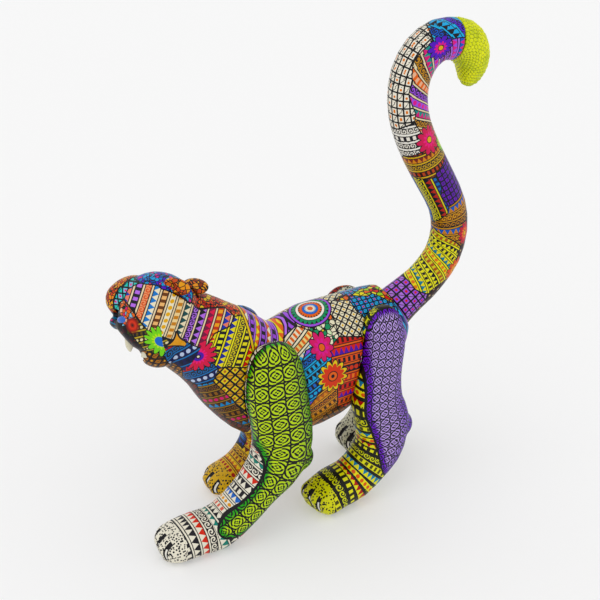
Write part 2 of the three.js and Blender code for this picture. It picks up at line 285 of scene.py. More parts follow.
# %% Easing the form
EASES = [  # centre, how far it reaches, and how far it draws the wood, all in mm
    ((0, 118, 175), 45, (0, -3.0, 2.5)),  # lower bend of the tail
    ((0, 72, 150), 26, (0, 0, 3.5)),  # rump
    ((0, 108, 250), 50, (0, -2.5, 0)),  # middle of the tail
    ((0, 88, 300), 30, (0, -1.8, 0)),  # upper bend of the tail
    ((0, 138, 330), 30, (0, -3.5, -1.5)),  # tuft
    ((-8, -112, 192), 45, (0, 0, 4.5)),  # crown and face
    ((0, -80, 180), 22, (0, 0, 2.5)),  # nape
    ((0, -52, 165), 18, (0, 0, 3.0)),  # withers
    ((6, -84, 106), 24, (0, -1.5, -3.0)),  # chest
    ((31, 72, 108), 26, (0, -3.2, 0)),  # back of the left thigh
    ((31, 66, 28), 17, (0, 2.2, -1.8)),  # left hind heel
    ((34, -16, 6), 17, (-2.0, 4.0, 0)),  # left hind toes
    ((36, -50, 24), 13, (0, -3.5, 2.0)),  # left wrist
]
FLOOR_FADE = 10


def eased(points):
    """Points in mm, drawn a little way along with each of the carver's corrections."""
    moved = points.copy()
    above_floor = np.clip(points[:, 2] / FLOOR_FADE, 0, 1)
    for centre, reach, (across, back, up) in EASES:
        gap = np.linalg.norm(points - np.array(centre), axis=1)
        share = np.exp(-((gap / reach) ** 2))
        moved += share[:, None] * np.array((across, back, 0))
        moved[:, 2] += share * above_floor * up
    return moved


for piece in (body, tongue, tail, tuft, *ears.values(), *eyes.values(), *fangs.values(), *legs.values()):
    move_points(piece, eased(points_of(piece)))
print("eased in", len(EASES), "places")

# %% [markdown]
# ## The paint kit
#
# The painter fills each patch with rows of small marks: triangles, comb teeth, dots and
# curls, with a pale rail between rows and a black line round everything. Each kind of
# marking is one small node group that is measured in mm, so that a mark is as large here
# as it is on the wood. The groups only say where a mark lies, and every patch gives them
# its own colours.

# %% Node group helpers
BLACK = "#0B0A0E"


def new_group(name, inputs, outputs):
    """An empty node group whose sockets, given by name, take a float (f) or a vector (v)."""
    tree = bpy.data.node_groups.new(name, "ShaderNodeTree")
    kinds = {"f": "NodeSocketFloat", "v": "NodeSocketVector"}
    for label, letter in inputs.items():
        tree.interface.new_socket(label, in_out="INPUT", socket_type=kinds[letter])
    for label, letter in outputs.items():
        tree.interface.new_socket(label, in_out="OUTPUT", socket_type=kinds[letter])
    given = tree.nodes.new("NodeGroupInput").outputs
    gives = tree.nodes.new("NodeGroupOutput").inputs
    return tree, given, gives


def use_group(tree, group, *values):
    """Places a group in a material and returns its outputs."""
    return add(tree, "Group", *values, node_tree=group).node.outputs


def palette(tree, place, colours):
    """Steps through a list of colours as place goes from 0 to 1."""
    node = add(tree, "ValToRGB", place).node
    ramp = node.color_ramp
    ramp.interpolation = "CONSTANT"
    for i, colour in enumerate(colours):
        stop = ramp.elements[i] if i < 2 else ramp.elements.new(i / len(colours))
        stop.position = i / len(colours)
        stop.color = linear(colour) if isinstance(colour, str) else colour
    while len(ramp.elements) > max(len(colours), 1):
        ramp.elements.remove(ramp.elements[-1])
    return node.outputs


def paint_over(tree, under, colour, where):
    """Lays a colour over what is already painted, where the mask says."""
    return add(tree, "Mix", where, under, colour, data_type="RGBA")


def along_direction(tree, point, direction):
    """How far a point lies along a direction, in mm."""
    return add(tree, "VectorMath", point, Vector(direction).normalized(), operation="DOT_PRODUCT")


# %% [markdown]
# A row of marks is a strip of a given width, cut into steps of a given pitch. Inside one
# step, height runs from 0 to 1 over the strip and side runs from -1 to 1 along it. From
# these two a triangle, a comb tooth, a dot and a curl are each one comparison. The next row
# starts a third of a step later, as rows painted by hand never line up.

# %% Rows of marks
ROW_RAIL = 0.55
ROW_LINE = 1.2
ROW_SHIFT = 0.37
MARK_MARGIN = 0.16
TOOTH_HALF_WIDTH = 0.52
TOOTH_HALF_HEIGHT = 0.26
DOT_REACH = 0.24
CURL_REACH = 0.4
CURL_TURNS = 22.0

row_marks, given, gives = new_group(
    "row_marks",
    {"Across": "f", "Along": "f", "Width": "f", "Pitch": "f"},
    {"Row": "f", "Marks": "v", "Curl": "f", "Line": "f", "Rail": "f"},
)
tree = row_marks
place = add(tree, "Math", given["Across"], given["Width"], operation="DIVIDE")
row = add(tree, "Math", place, operation="FLOOR")
height = add(tree, "Math", place, operation="FRACT")
step = add(tree, "Math", given["Along"], given["Pitch"], operation="DIVIDE")
step = add(tree, "Math", row, ROW_SHIFT, step, operation="MULTIPLY_ADD")
turn = add(tree, "Math", step, operation="FRACT")
side = add(tree, "Math", turn, 2.0, -1.0, operation="MULTIPLY_ADD")
ridge = add(tree, "Math", side, operation="ABSOLUTE")

# triangle and comb tooth
inner = add(tree, "MapRange", height, MARK_MARGIN, 1 - MARK_MARGIN)
slope = add(tree, "Math", ridge, inner, operation="ADD")
triangle = add(tree, "Math", slope, 1.0, operation="LESS_THAN")
tooth = add(tree, "Math", ridge, TOOTH_HALF_WIDTH, operation="LESS_THAN")
tall = add(tree, "Math", height, 0.5, TOOTH_HALF_HEIGHT, operation="COMPARE")
tooth = add(tree, "Math", tooth, tall, operation="MULTIPLY")

# dot and curl, by the distance from the middle of the step as a share of the width
right = add(tree, "Math", side, given["Pitch"], operation="MULTIPLY")
right = add(tree, "Math", right, 0.5, operation="MULTIPLY")
up = add(tree, "Math", height, 0.5, operation="SUBTRACT")
from_middle = add(tree, "Math", up, operation="ABSOLUTE")
up = add(tree, "Math", up, given["Width"], operation="MULTIPLY")
spot = add(tree, "CombineXYZ", right, up, 0.0)
reach = add(tree, "VectorMath", spot, operation="LENGTH")
reach = add(tree, "Math", reach, given["Width"], operation="DIVIDE")
dot = add(tree, "Math", reach, DOT_REACH, operation="LESS_THAN")
angle = add(tree, "Math", up, right, operation="ARCTAN2")
swirl = add(tree, "Math", reach, CURL_TURNS, angle, operation="MULTIPLY_ADD")
swirl = add(tree, "Math", swirl, operation="SINE")
swirl = add(tree, "Math", swirl, 0.0, operation="GREATER_THAN")
near = add(tree, "Math", reach, CURL_REACH, operation="LESS_THAN")
curl = add(tree, "Math", swirl, near, operation="MULTIPLY")

# black line and pale rail at both edges of the strip
edge = add(tree, "Math", from_middle, -1.0, 0.5, operation="MULTIPLY_ADD")
edge = add(tree, "Math", edge, given["Width"], operation="MULTIPLY")
line = add(tree, "Math", edge, ROW_LINE, operation="LESS_THAN")
rail = add(tree, "Math", edge, ROW_RAIL, operation="LESS_THAN")
marks = add(tree, "CombineXYZ", triangle, tooth, dot)
for label, value in (("Row", row), ("Marks", marks), ("Curl", curl), ("Line", line), ("Rail", rail)):
    tree.links.new(value, gives[label])
print("row marks:", len(tree.nodes), "nodes")

# %% Bands of rows
MARKS = {  # shares of triangle, tooth and dot, then of curl
    "plain": (0, 0, 0, 0),
    "triangle": (1, 0, 0, 0),
    "tooth": (0, 1, 0, 0),
    "dot": (0, 0, 1, 0),
    "curl": (0, 0, 0, 1),
}


def rows(tree, point, across, along, width, pitch, bands, start=0.0, rail=None):
    """Rows of marks. Each band is (kind of mark, ground colour, mark colour)."""
    far_across = along_direction(tree, point, across)
    far_along = along_direction(tree, point, along)
    far_across = add(tree, "Math", far_across, start, operation="SUBTRACT")
    marks = use_group(tree, row_marks, far_across, far_along, width, pitch)
    count = len(bands)
    share = add(tree, "Math", marks["Row"], 1 / count, 0.5 / count, operation="MULTIPLY_ADD")
    share = add(tree, "Math", share, operation="FRACT")
    ground = palette(tree, share, [band[1] for band in bands])[0]
    mark = palette(tree, share, [band[2] for band in bands])[0]
    kind = palette(tree, share, [MARKS[band[0]] for band in bands])
    where = add(tree, "VectorMath", kind[0], marks["Marks"], operation="DOT_PRODUCT")
    where = add(tree, "Math", kind[1], marks["Curl"], where, operation="MULTIPLY_ADD")
    paint = paint_over(tree, ground, mark, where)
    paint = paint_over(tree, paint, BLACK, marks["Line"])
    return paint_over(tree, paint, rail or mark, marks["Rail"])


# %% [markdown]
# A grid of cells serves two markings: small tiles with a heart or a slash, and the
# pinwheels of the leg panels. In each cell, square is how near the border is, round how far
# the middle is, and odd tells the cells apart like the fields of a chess board.

# %% Cells of a grid
cell_marks, given, gives = new_group(
    "cell_marks",
    {"Across": "f", "Along": "f", "Width": "f", "Height": "f"},
    {"Square": "f", "Round": "f", "Odd": "f", "Quarter": "f", "Slash": "f"},
)
tree = cell_marks
right = add(tree, "Math", given["Across"], given["Width"], operation="DIVIDE")
up = add(tree, "Math", given["Along"], given["Height"], operation="DIVIDE")
column = add(tree, "Math", right, operation="FLOOR")
layer = add(tree, "Math", up, operation="FLOOR")
cell = add(tree, "Math", column, layer, operation="ADD")
cell = add(tree, "Math", cell, 0.5, operation="MULTIPLY")
cell = add(tree, "Math", cell, operation="FRACT")
odd = add(tree, "Math", cell, 0.25, operation="GREATER_THAN")
right = add(tree, "Math", right, operation="FRACT")
right = add(tree, "Math", right, 0.5, operation="SUBTRACT")
up = add(tree, "Math", up, operation="FRACT")
up = add(tree, "Math", up, 0.5, operation="SUBTRACT")
far_right = add(tree, "Math", right, operation="ABSOLUTE")
far_up = add(tree, "Math", up, operation="ABSOLUTE")
square = add(tree, "Math", far_right, far_up, operation="MAXIMUM")
right_mm = add(tree, "Math", right, given["Width"], operation="MULTIPLY")
up_mm = add(tree, "Math", up, given["Height"], operation="MULTIPLY")
spot = add(tree, "CombineXYZ", right_mm, up_mm, 0.0)
reach = add(tree, "VectorMath", spot, operation="LENGTH")
quarter = add(tree, "Math", right, up, operation="MULTIPLY")
quarter = add(tree, "Math", quarter, 0.0, operation="GREATER_THAN")
slash = add(tree, "Math", right, up, operation="SUBTRACT")
slash = add(tree, "Math", slash, operation="ABSOLUTE")
for label, value in (("Square", square), ("Round", reach), ("Odd", odd), ("Quarter", quarter),
                     ("Slash", slash)):
    tree.links.new(value, gives[label])
print("cell marks:", len(tree.nodes), "nodes")

# %% Tiles and pinwheels
TILE_HALF = 0.37
HEART_REACH = 0.2
SLASH_HALF = 0.07
PANEL_GRID = 0.455
PINWHEEL_REACH = 0.56
PINWHEEL_LINE = 0.1


def tiles(tree, point, across, along, size, tile, heart, second=None):
    """Square tiles on black, every other one with a heart and the rest with a slash."""
    far_across = along_direction(tree, point, across)
    far_along = along_direction(tree, point, along)
    cell = use_group(tree, cell_marks, far_across, far_along, size, size)
    inside = add(tree, "Math", cell["Square"], TILE_HALF, operation="LESS_THAN")
    colour = paint_over(tree, tile, second or tile, cell["Odd"])
    paint = paint_over(tree, BLACK, colour, inside)
    middle = add(tree, "Math", cell["Round"], size * HEART_REACH, operation="LESS_THAN")
    middle = add(tree, "Math", middle, cell["Odd"], operation="MULTIPLY")
    paint = paint_over(tree, paint, heart, middle)
    even = add(tree, "Math", 1.0, cell["Odd"], operation="SUBTRACT")
    cut = add(tree, "Math", cell["Slash"], SLASH_HALF, operation="LESS_THAN")
    cut = add(tree, "Math", cut, even, operation="MULTIPLY")
    return paint_over(tree, paint, BLACK, cut)


def pinwheels(tree, across, along, width, height, ring):
    """A mask for the black work of a panel: grid lines, and rings that swap at each quarter."""
    cell = use_group(tree, cell_marks, across, along, width, height)
    wave = add(tree, "Math", cell["Round"], math.tau / ring, operation="MULTIPLY")
    swap = add(tree, "Math", cell["Quarter"], math.pi, wave, operation="MULTIPLY_ADD")
    wave = add(tree, "Math", swap, operation="SINE")
    rings = add(tree, "Math", wave, PINWHEEL_LINE, operation="GREATER_THAN")
    limit = add(tree, "Math", cell["Round"], height * PINWHEEL_REACH, operation="LESS_THAN")
    rings = add(tree, "Math", rings, limit, operation="MULTIPLY")
    grid = add(tree, "Math", cell["Square"], PANEL_GRID, operation="GREATER_THAN")
    return add(tree, "Math", rings, grid, operation="MAXIMUM")


# %% [markdown]
# Where the painter fills a patch with tiny leaves or dabs, no two are alike, and a Voronoi
# texture gives just that: cells of about one size, each with its own random colour, and a
# distance to their edges for the black line.

# %% Leaves and dabs
LEAF_LINE = 0.09
DAB_SOFTNESS = (0.0, 0.5, 2.0, 0.75)


def scale_of(size):
    """The scale that makes one cell of a texture so many mm across."""
    return 1 / size


def leaves(tree, point, size, colours, squeeze=(1, 1, 1)):
    """A scatter of small leaf shapes with black lines between them."""
    stretched = add(tree, "VectorMath", point, squeeze, operation="MULTIPLY")
    share = add(tree, "TexVoronoi", stretched, scale_of(size)).node.outputs["Color"]
    share = add(tree, "SeparateColor", share)
    colour = palette(tree, share, colours)[0]
    edge = add(tree, "TexVoronoi", stretched, scale_of(size), feature="DISTANCE_TO_EDGE")
    line = add(tree, "Math", edge, LEAF_LINE, operation="LESS_THAN")
    return paint_over(tree, colour, BLACK, line)


def speckle(tree, point, size, ground, spot=BLACK, share=0.36):
    """Close, uneven dots, as dabbed with the tip of a brush."""
    near = add(tree, "TexVoronoi", point, scale_of(size), *DAB_SOFTNESS)
    dab = add(tree, "Math", near, share, operation="LESS_THAN")
    return paint_over(tree, ground, spot, dab)


# %% [markdown]
# A flower is drawn from the outside in. Each ring is a circle whose radius swings with the
# angle, and the swing makes the petals. Fans are flowers that open to one side only.

# %% Flowers and fans
FLOWER_CLIP = 1.6
FAN_OVERLAP = 0.1

flower_marks, given, gives = new_group(
    "flower_marks",
    {"Across": "f", "Along": "f", "Petals": "f"},
    {"Reach": "f", "Petal": "f"},
)
tree = flower_marks
spot = add(tree, "CombineXYZ", given["Across"], given["Along"], 0.0)
reach = add(tree, "VectorMath", spot, operation="LENGTH")
angle = add(tree, "Math", given["Along"], given["Across"], operation="ARCTAN2")
wave = add(tree, "Math", angle, given["Petals"], operation="MULTIPLY")
wave = add(tree, "Math", wave, 0.5, operation="MULTIPLY")
wave = add(tree, "Math", wave, operation="SINE")
petal = add(tree, "Math", wave, operation="ABSOLUTE")
tree.links.new(reach, gives["Reach"])
tree.links.new(petal, gives["Petal"])


def flower(tree, under, point, centre, across, along, radius, petals, rings, toward=None):
    """A flower laid over the paint: rings are (share of the radius, colour, petal share).

    With a direction it is a fan that opens that way.
    """
    offset = add(tree, "VectorMath", point, centre, operation="SUBTRACT")
    near = add(tree, "VectorMath", offset, operation="LENGTH")
    far_across = along_direction(tree, offset, across)
    far_along = along_direction(tree, offset, along)
    marks = use_group(tree, flower_marks, far_across, far_along, petals)
    close = add(tree, "Math", near, radius * FLOWER_CLIP, operation="LESS_THAN")
    if toward is not None:
        ahead = along_direction(tree, offset, toward)
        ahead = add(tree, "Math", ahead, -radius * FAN_OVERLAP, operation="GREATER_THAN")
        close = add(tree, "Math", close, ahead, operation="MULTIPLY")
    paint = under
    for share, colour, depth in rings:
        limit = add(tree, "Math", marks["Petal"], radius * depth, radius * (share - depth),
                    operation="MULTIPLY_ADD")
        where = add(tree, "Math", marks["Reach"], limit, operation="LESS_THAN")
        where = add(tree, "Math", where, close, operation="MULTIPLY")
        paint = paint_over(tree, paint, colour, where)
    return paint


# %% Hollow-sided triangle
HUB_DISTANCE = 1.3
HUB_RADIUS = 1.13
HUB_TURNS = (30, 150, 270)
TRIANGLE_CLIP = 0.75
TRIANGLE_LINE = 0.9


def hollow_triangle(tree, under, point, centre, across, along, size, colour):
    """A triangle with hollow sides, left over between three circles, with a black outline."""
    offset = add(tree, "VectorMath", point, centre, operation="SUBTRACT")
    far_across = along_direction(tree, offset, across)
    far_along = along_direction(tree, offset, along)
    flat = add(tree, "CombineXYZ", far_across, far_along, 0.0)
    clear = None
    for turn in HUB_TURNS:
        angle = math.radians(turn)
        hub = Vector((math.cos(angle), math.sin(angle), 0)) * size * HUB_DISTANCE
        away = add(tree, "VectorMath", flat, tuple(hub), operation="DISTANCE")
        clear = away if clear is None else add(tree, "Math", clear, away, operation="MINIMUM")
    near = add(tree, "VectorMath", offset, operation="LENGTH")
    near = add(tree, "Math", near, size * TRIANGLE_CLIP, operation="LESS_THAN")
    paint = under
    for limit, tone in ((size * HUB_RADIUS - TRIANGLE_LINE, BLACK), (size * HUB_RADIUS, colour)):
        where = add(tree, "Math", clear, limit, operation="GREATER_THAN")
        where = add(tree, "Math", where, near, operation="MULTIPLY")
        paint = paint_over(tree, paint, tone, where)
    return paint


# %% [markdown]
# ## Patches
#
# The body is a patchwork: every patch starts from one or a few points on the wood, and the
# paint at any place belongs to the nearest of them. That gives straight seams that wrap
# round the form as a painter's ruled lines do, each with a black line along it.

# %% Patchwork helper
SEAM_HALF = 0.45


def patchwork(tree, point, patches):
    """Joins patches, each (its points, its paint), with a black seam between them."""
    nearest, second, paint = None, None, None
    for starts, colour in patches:
        reach = None
        for start in starts:
            distance = add(tree, "VectorMath", point, start, operation="DISTANCE")
            reach = distance if reach is None else add(
                tree, "Math", reach, distance, operation="MINIMUM")
        if nearest is None:
            nearest, paint = reach, colour
            continue
        closer = add(tree, "Math", reach, nearest, operation="LESS_THAN")
        paint = paint_over(tree, paint, colour, closer)
        farther = add(tree, "Math", reach, nearest, operation="MAXIMUM")
        second = farther if second is None else add(
            tree, "Math", second, farther, operation="MINIMUM")
        nearest = add(tree, "Math", reach, nearest, operation="MINIMUM")
    gap = add(tree, "Math", second, nearest, operation="SUBTRACT")
    line = add(tree, "Math", gap, SEAM_HALF * 2, operation="LESS_THAN")
    return paint_over(tree, paint, BLACK, line)


# %% [markdown]
# Acrylic paint on sanded softwood, brushed on in thin coats and then varnished: the paint
# itself is satin, the thin coat over it is glossy, and both have an index of about 1.5. The
# varnish deepens the colours, and a faint unevenness from the sanding shows in the shine.
# Sandpaper marks are finer than the render can show, so they are drawn a few mm wide.

# %% Varnished paint
DEPTH_OF_COLOUR = 1.38
DARKENING = 0.9
SANDING_SIZE = 2.381 * MM
SANDING_DEPTH = 0.3 * MM


def finish_paint(tree, colour, roughness=0.42):
    """Acrylic paint under a thin coat of gloss varnish. Returns the shader node."""
    deep = add(tree, "HueSaturation", 0.5, DEPTH_OF_COLOUR, DARKENING, 1.0, colour)
    shader = add(tree, "BsdfPrincipled", deep).node
    shader.inputs["Roughness"].default_value = roughness
    shader.inputs["IOR"].default_value = 1.49
    shader.inputs["Specular IOR Level"].default_value = 0.15
    shader.inputs["Coat Weight"].default_value = 0.15
    shader.inputs["Coat Roughness"].default_value = 0.12
    shader.inputs["Coat IOR"].default_value = 1.5
    place = add(tree, "TexCoord").node.outputs["Object"]
    sanding = add(tree, "TexNoise", place, scale_of(SANDING_SIZE), 3.0)
    relief = add(tree, "Bump", 0.2).node
    relief.inputs["Distance"].default_value = SANDING_DEPTH
    tree.links.new(sanding, relief.inputs["Height"])
    tree.links.new(relief.outputs["Normal"], shader.inputs["Normal"])
    add(tree, "OutputMaterial", shader.outputs["BSDF"])
    return shader


# %% [markdown]
# ## Legs and feet
#
# Each leg is one carved piece, let into the body. Its outer face carries a long panel of
# ringed squares, ruled along the leg, and the foot and the inner side carry rows of marks
# that go round it. The marks follow the leg because every point stores how far down the
# leg it is and how far round. Storing values was chosen over unwrapping the leg, because
# they are in mm and have no seams.

# %% Measuring along a line
def smooth_line(corners, rounds=2):
    """Rounds a line of given points by cutting its corners."""
    line = np.array(corners, float)
    for _ in range(rounds):
        cut = np.empty((2 * len(line), 2))
        cut[0], cut[-1] = line[0], line[-1]
        cut[1:-1:2] = 0.75 * line[:-1] + 0.25 * line[1:]
        cut[2:-1:2] = 0.25 * line[:-1] + 0.75 * line[1:]
        line = cut
    return line


def beside_line(points, line):
    """For points in a plane: the distance along a line, and how far to its right they lie."""
    starts, ends = line[:-1], line[1:]
    steps = ends - starts
    lengths = np.maximum(np.linalg.norm(steps, axis=1), 1e-6)
    begun = np.concatenate([[0], np.cumsum(lengths)[:-1]])
    best = np.full(len(points), np.inf)
    along = np.zeros(len(points))
    beside = np.zeros(len(points))
    for start, step, length, before in zip(starts, steps, lengths, begun):
        unit = step / length
        offset = points - start
        ahead = offset @ unit
        right = offset @ np.array([unit[1], -unit[0]])
        gap = np.hypot(right, ahead - np.clip(ahead, 0, length))
        closer = gap < best
        best[closer] = gap[closer]
        along[closer] = (before + ahead)[closer]
        beside[closer] = right[closer]
    return along, beside


def depth_inside(points, outline):
    """How far points lie inside a closed outline, with less than 0 outside it."""
    ring = smooth_line([*outline, outline[0]])
    starts, steps = ring[:-1], np.diff(ring, axis=0)
    best = np.full(len(points), np.inf)
    inside = np.zeros(len(points), bool)
    for start, step in zip(starts, steps):
        offset = points - start
        share = np.clip(offset @ step / max(step @ step, 1e-9), 0, 1)
        best = np.minimum(best, np.linalg.norm(offset - share[:, None] * step, axis=1))
        crosses = (start[1] > points[:, 1]) != (start[1] + step[1] > points[:, 1])
        reach = start[0] + (points[:, 1] - start[1]) * step[0] / (step[1] or 1e-9)
        inside ^= crosses & (points[:, 0] < reach)
    return np.where(inside, best, -best)


# %% [markdown]
# Each leg has a middle line from the shoulder or hip to the toes, and each panel has an
# outline. Both are drawn on the side view, so their points are (y, z) in mm.

# %% Leg lines and panel outlines
LEG_LINES = {
    "front_left": [(-45, 160), (-44, 118), (-41, 95), (-40, 76), (-45, 60), (-60, 43),
                   (-79, 26), (-97, 16), (-112, 14), (-125, 12), (-136, 9), (-145, 7)],
    "front_right": [(-45, 160), (-44, 118), (-39, 95), (-35, 76), (-28, 57), (-26, 40),
                    (-34, 25), (-45, 15), (-57, 11), (-67, 9), (-77, 6)],
    "hind_left": [(50, 164), (49, 131), (45, 108), (44, 86), (48, 66), (47, 48),
                  (38, 32), (22, 18), (6, 15), (-5, 11), (-13, 9), (-20, 7)],
    "hind_right": [(50, 155), (49, 131), (51, 108), (60, 86), (70, 66), (76, 47),
                   (75, 31), (69, 20), (61, 12), (54, 10), (46, 7)],
}
PANELS = {
    "front_left": [(-44, 170), (-56, 167), (-66, 157), (-76, 138), (-76, 110), (-68, 88),
                   (-60, 70), (-64, 56), (-80, 40), (-98, 30), (-104, 22), (-95, 13),
                   (-78, 13), (-58, 22), (-36, 34), (-15, 46), (-9, 60), (-14, 80),
                   (-16, 110), (-15, 140), (-28, 164)],
    "front_right": [(-44, 163), (-60, 150), (-68, 120), (-62, 95), (-56, 70), (-46, 45),
                    (-44, 30), (-34, 26), (-20, 34), (-6, 55), (-10, 80), (-17, 120),
                    (-24, 158)],
    "hind_left": [(50, 178), (36, 172), (28, 152), (28, 120), (28, 98), (27, 82),
                  (31, 70), (36, 55), (39, 40), (42, 26), (50, 16), (60, 30), (72, 46),
                  (79, 58), (76, 72), (68, 88), (63, 108), (68, 131), (68, 152), (60, 172)],
    "hind_right": [(50, 160), (36, 150), (31, 125), (38, 95), (48, 75), (58, 50), (62, 34),
                   (75, 22), (90, 36), (98, 56), (86, 78), (74, 100), (68, 130), (60, 156)],
}
FOOT_X = {"front_left": 31, "front_right": -30, "hind_left": 31, "hind_right": -33}

# %% [markdown]
# Toes are three grooves on the front of each paw, with the wood between them swelling a
# little. How far round the leg a point lies comes from its distance to the middle line,
# compared with the widest place at that height.

# %% Carving the toes and storing places
TOE_GAP = 10.5
TOE_LENGTH = 15
TOE_DEPTH = 1.5
TOE_SWELL = 0.5
GROOVE_HALF = 1.5
LEG_ROUND = 17.5
SHANK_ROUND = 15
STATION = 6.0
PANEL_WRAP = 2.5
NO_CLAW = 9.0

for name, leg in legs.items():
    points, facing = points_of(leg), normals_of(leg)
    outward = 1 if FOOT_X[name] > 0 else -1
    down, behind = beside_line(points[:, 1:], smooth_line(LEG_LINES[name]))
    across = points[:, 0] - FOOT_X[name]
    around = np.arctan2(across, behind) * SHANK_ROUND

    # how far round from front to back, so that a panel's squares stay square
    stations = np.arange(0, down.max(), STATION)
    widest = [np.abs(behind[np.abs(down - station) < STATION]).max() for station in stations]
    widest = np.convolve(np.pad(widest, 1, "edge"), [1 / 3] * 3, "valid")
    share = behind / np.interp(down, stations, widest)
    behind = np.arcsin(np.clip(share, -1, 1)) * LEG_ROUND

    # toes
    from_toe = points[:, 1] - LEG_LINES[name][-1][0]
    groove = np.abs(across[:, None] - np.array([-TOE_GAP, 0, TOE_GAP])).min(axis=1)
    fade = np.clip(1 - from_toe / TOE_LENGTH, 0, 1) * (facing[:, 2] > -0.6)
    depth = TOE_DEPTH * np.exp(-((groove / GROOVE_HALF) ** 2)) * fade
    swell = TOE_SWELL * np.sin(np.clip(groove / TOE_GAP * 2, 0, 1) * math.pi / 2) * fade
    carved = points + facing * (swell - depth)[:, None]
    carved[:, 2] = np.maximum(carved[:, 2], np.minimum(points[:, 2], 0.0))
    move_points(leg, carved)

    # values for the paint
    outer = across * outward + PANEL_WRAP
    inside = np.minimum(depth_inside(points[:, 1:], PANELS[name]), outer)
    keep_values(leg, "leg_place", np.stack([down, behind, around], axis=1))
    keep_values(leg, "panel_depth", inside)
    claw_side = np.where(fade > 0, groove, NO_CLAW)
    keep_values(leg, "claw_place", np.stack([claw_side, from_toe, points[:, 2]], axis=1))
    print(f"{name}: {down.max():.0f} mm from shoulder to toes")


# %% [markdown]
# One function paints a leg from the inside of the paint out: bands round the foot, dabbed
# toes, black claws with a white stroke, and over them the panel, with painted shade at its
# front and at its rim and painted light down its middle.

# %% Leg paint
BAND_PITCH = 5.0
DAB_SIZE = 2.0
DAB_SHARE = 0.4
TOES_PAINTED = 17.0
CLAW_REACH = 8
CLAW_HALF = 1.9
STROKE_HALF = 0.75
STROKE_HEIGHT = 10.0
STROKE_RANGE = 5.0
PANEL_FRONT_SHADE = (-20.0, -4.0)
PANEL_RIM_SHADE = (2.5, 6.0)
PANEL_LINE = 0.8


def object_mm(tree):
    """Where a point lies on the figure, in mm."""
    place = add(tree, "TexCoord").node.outputs["Object"]
    scaled = add(tree, "VectorMath", place, operation="SCALE")
    scaled.node.inputs["Scale"].default_value = 1 / MM
    return scaled


def kept(tree, name):
    """The values that a piece keeps for its paint."""
    return add(tree, "Attribute", attribute_name=name).node.outputs


def claws(tree, paint, claw):
    """Black claws with a short white stroke, where the toes end."""
    reach = add(tree, "Math", claw["Y"], CLAW_REACH, operation="LESS_THAN")
    slot = add(tree, "Math", claw["X"], CLAW_HALF, operation="LESS_THAN")
    slot = add(tree, "Math", slot, reach, operation="MULTIPLY")
    paint = paint_over(tree, paint, BLACK, slot)
    stroke = add(tree, "Math", claw["X"], STROKE_HALF, operation="LESS_THAN")
    upper = add(tree, "Math", claw["Z"], STROKE_HEIGHT, STROKE_RANGE, operation="COMPARE")
    stroke = add(tree, "Math", stroke, upper, operation="MULTIPLY")
    stroke = add(tree, "Math", stroke, reach, operation="MULTIPLY")
    return paint_over(tree, paint, "#F2F0E8", stroke)


def paint_leg(name, tones, cell, ring, bands, toes, band_width=7.0):
    """Panel colours (front, middle, rim) are painted shade, painted light and painted shade; the bands go
    round the foot and the inner side.
    """
    material, tree = new_material(f"varnished_acrylic_{name}_leg")
    point = object_mm(tree)
    place = kept(tree, "leg_place")["Vector"]
    parts = add(tree, "SeparateXYZ", place).node.outputs
    depth = kept(tree, "panel_depth")["Fac"]
    claw = add(tree, "SeparateXYZ", kept(tree, "claw_place")["Vector"]).node.outputs
    foot = rows(tree, place, (1, 0, 0), (0, 0, 1), band_width, BAND_PITCH, bands, rail=bands[0][1])
    dabs = speckle(tree, point, DAB_SIZE, *toes, DAB_SHARE)
    at_toes = add(tree, "Math", claw["Y"], TOES_PAINTED, operation="LESS_THAN")
    foot = paint_over(tree, foot, dabs, at_toes)
    foot = claws(tree, foot, claw)
    front, middle, rim = tones
    # painted light and shade on the panel: a shaded front, a lit middle and a shaded rim
    light = add(tree, "MapRange", parts["Y"], *PANEL_FRONT_SHADE)
    tone = paint_over(tree, front, middle, light)
    inner = add(tree, "MapRange", depth, *PANEL_RIM_SHADE)
    tone = paint_over(tree, rim, tone, inner)
    work = pinwheels(tree, parts["Y"], parts["X"], *cell, ring)
    panel = paint_over(tree, tone, BLACK, work)
    on_panel = add(tree, "Math", depth, 0.0, operation="GREATER_THAN")
    paint = paint_over(tree, foot, panel, on_panel)
    border = add(tree, "Math", depth, 0.0, PANEL_LINE, operation="COMPARE")
    paint = paint_over(tree, paint, BLACK, border)
    finish_paint(tree, paint)
    legs[name].data.materials.append(material)
    print(f"{material.name}: {len(tree.nodes)} nodes")


# %% Four legs
CREAM = "#EFEBDD"

# each panel is given as painted shade at the front, painted light in the middle and painted shade at the
# rim
paint_leg(
    "front_left", ("#1F8F1C", "#C4E04C", "#2FA322"), (9.6, 13.5), 2.7,
    [("triangle", CREAM, "#17151B"), ("tooth", "#17151B", CREAM), ("triangle", CREAM, "#2467C4"),
     ("dot", CREAM, "#E39A2B"), ("tooth", CREAM, "#D98F86"), ("triangle", "#17151B", CREAM),
     ("triangle", CREAM, "#1F7F70"), ("curl", "#17151B", CREAM), ("triangle", CREAM, "#D8392B")],
    (CREAM, BLACK))
paint_leg(
    "front_right", ("#1C4FB8", "#49B4E6", "#1C3F9C"), (9.0, 10.0), 2.4,
    [("curl", "#DDA81E", "#5A2A10"), ("tooth", "#E2B024", "#8A3A12"),
     ("triangle", "#C96A1C", "#F0C93A"), ("dot", "#E3B325", "#A8322A"), ("triangle", "#E8BE2C", "#6A2A14")],
    ("#DDAF22", BLACK))
paint_leg(
    "hind_left", ("#5B22B8", "#C8B4E6", "#7A4CC8"), (6.0, 7.2), 2.3,
    [("curl", "#1A1A10", "#D9DC20"), ("tooth", "#E4E21A", "#4A4A10"), ("triangle", "#E9E61A", "#1F7FA8"),
     ("dot", "#EDE81C", "#E2601C"), ("triangle", "#E8E41A", "#B02A2A"), ("tooth", "#24240C", "#E9E61A")],
    ("#DCDC1E", BLACK))
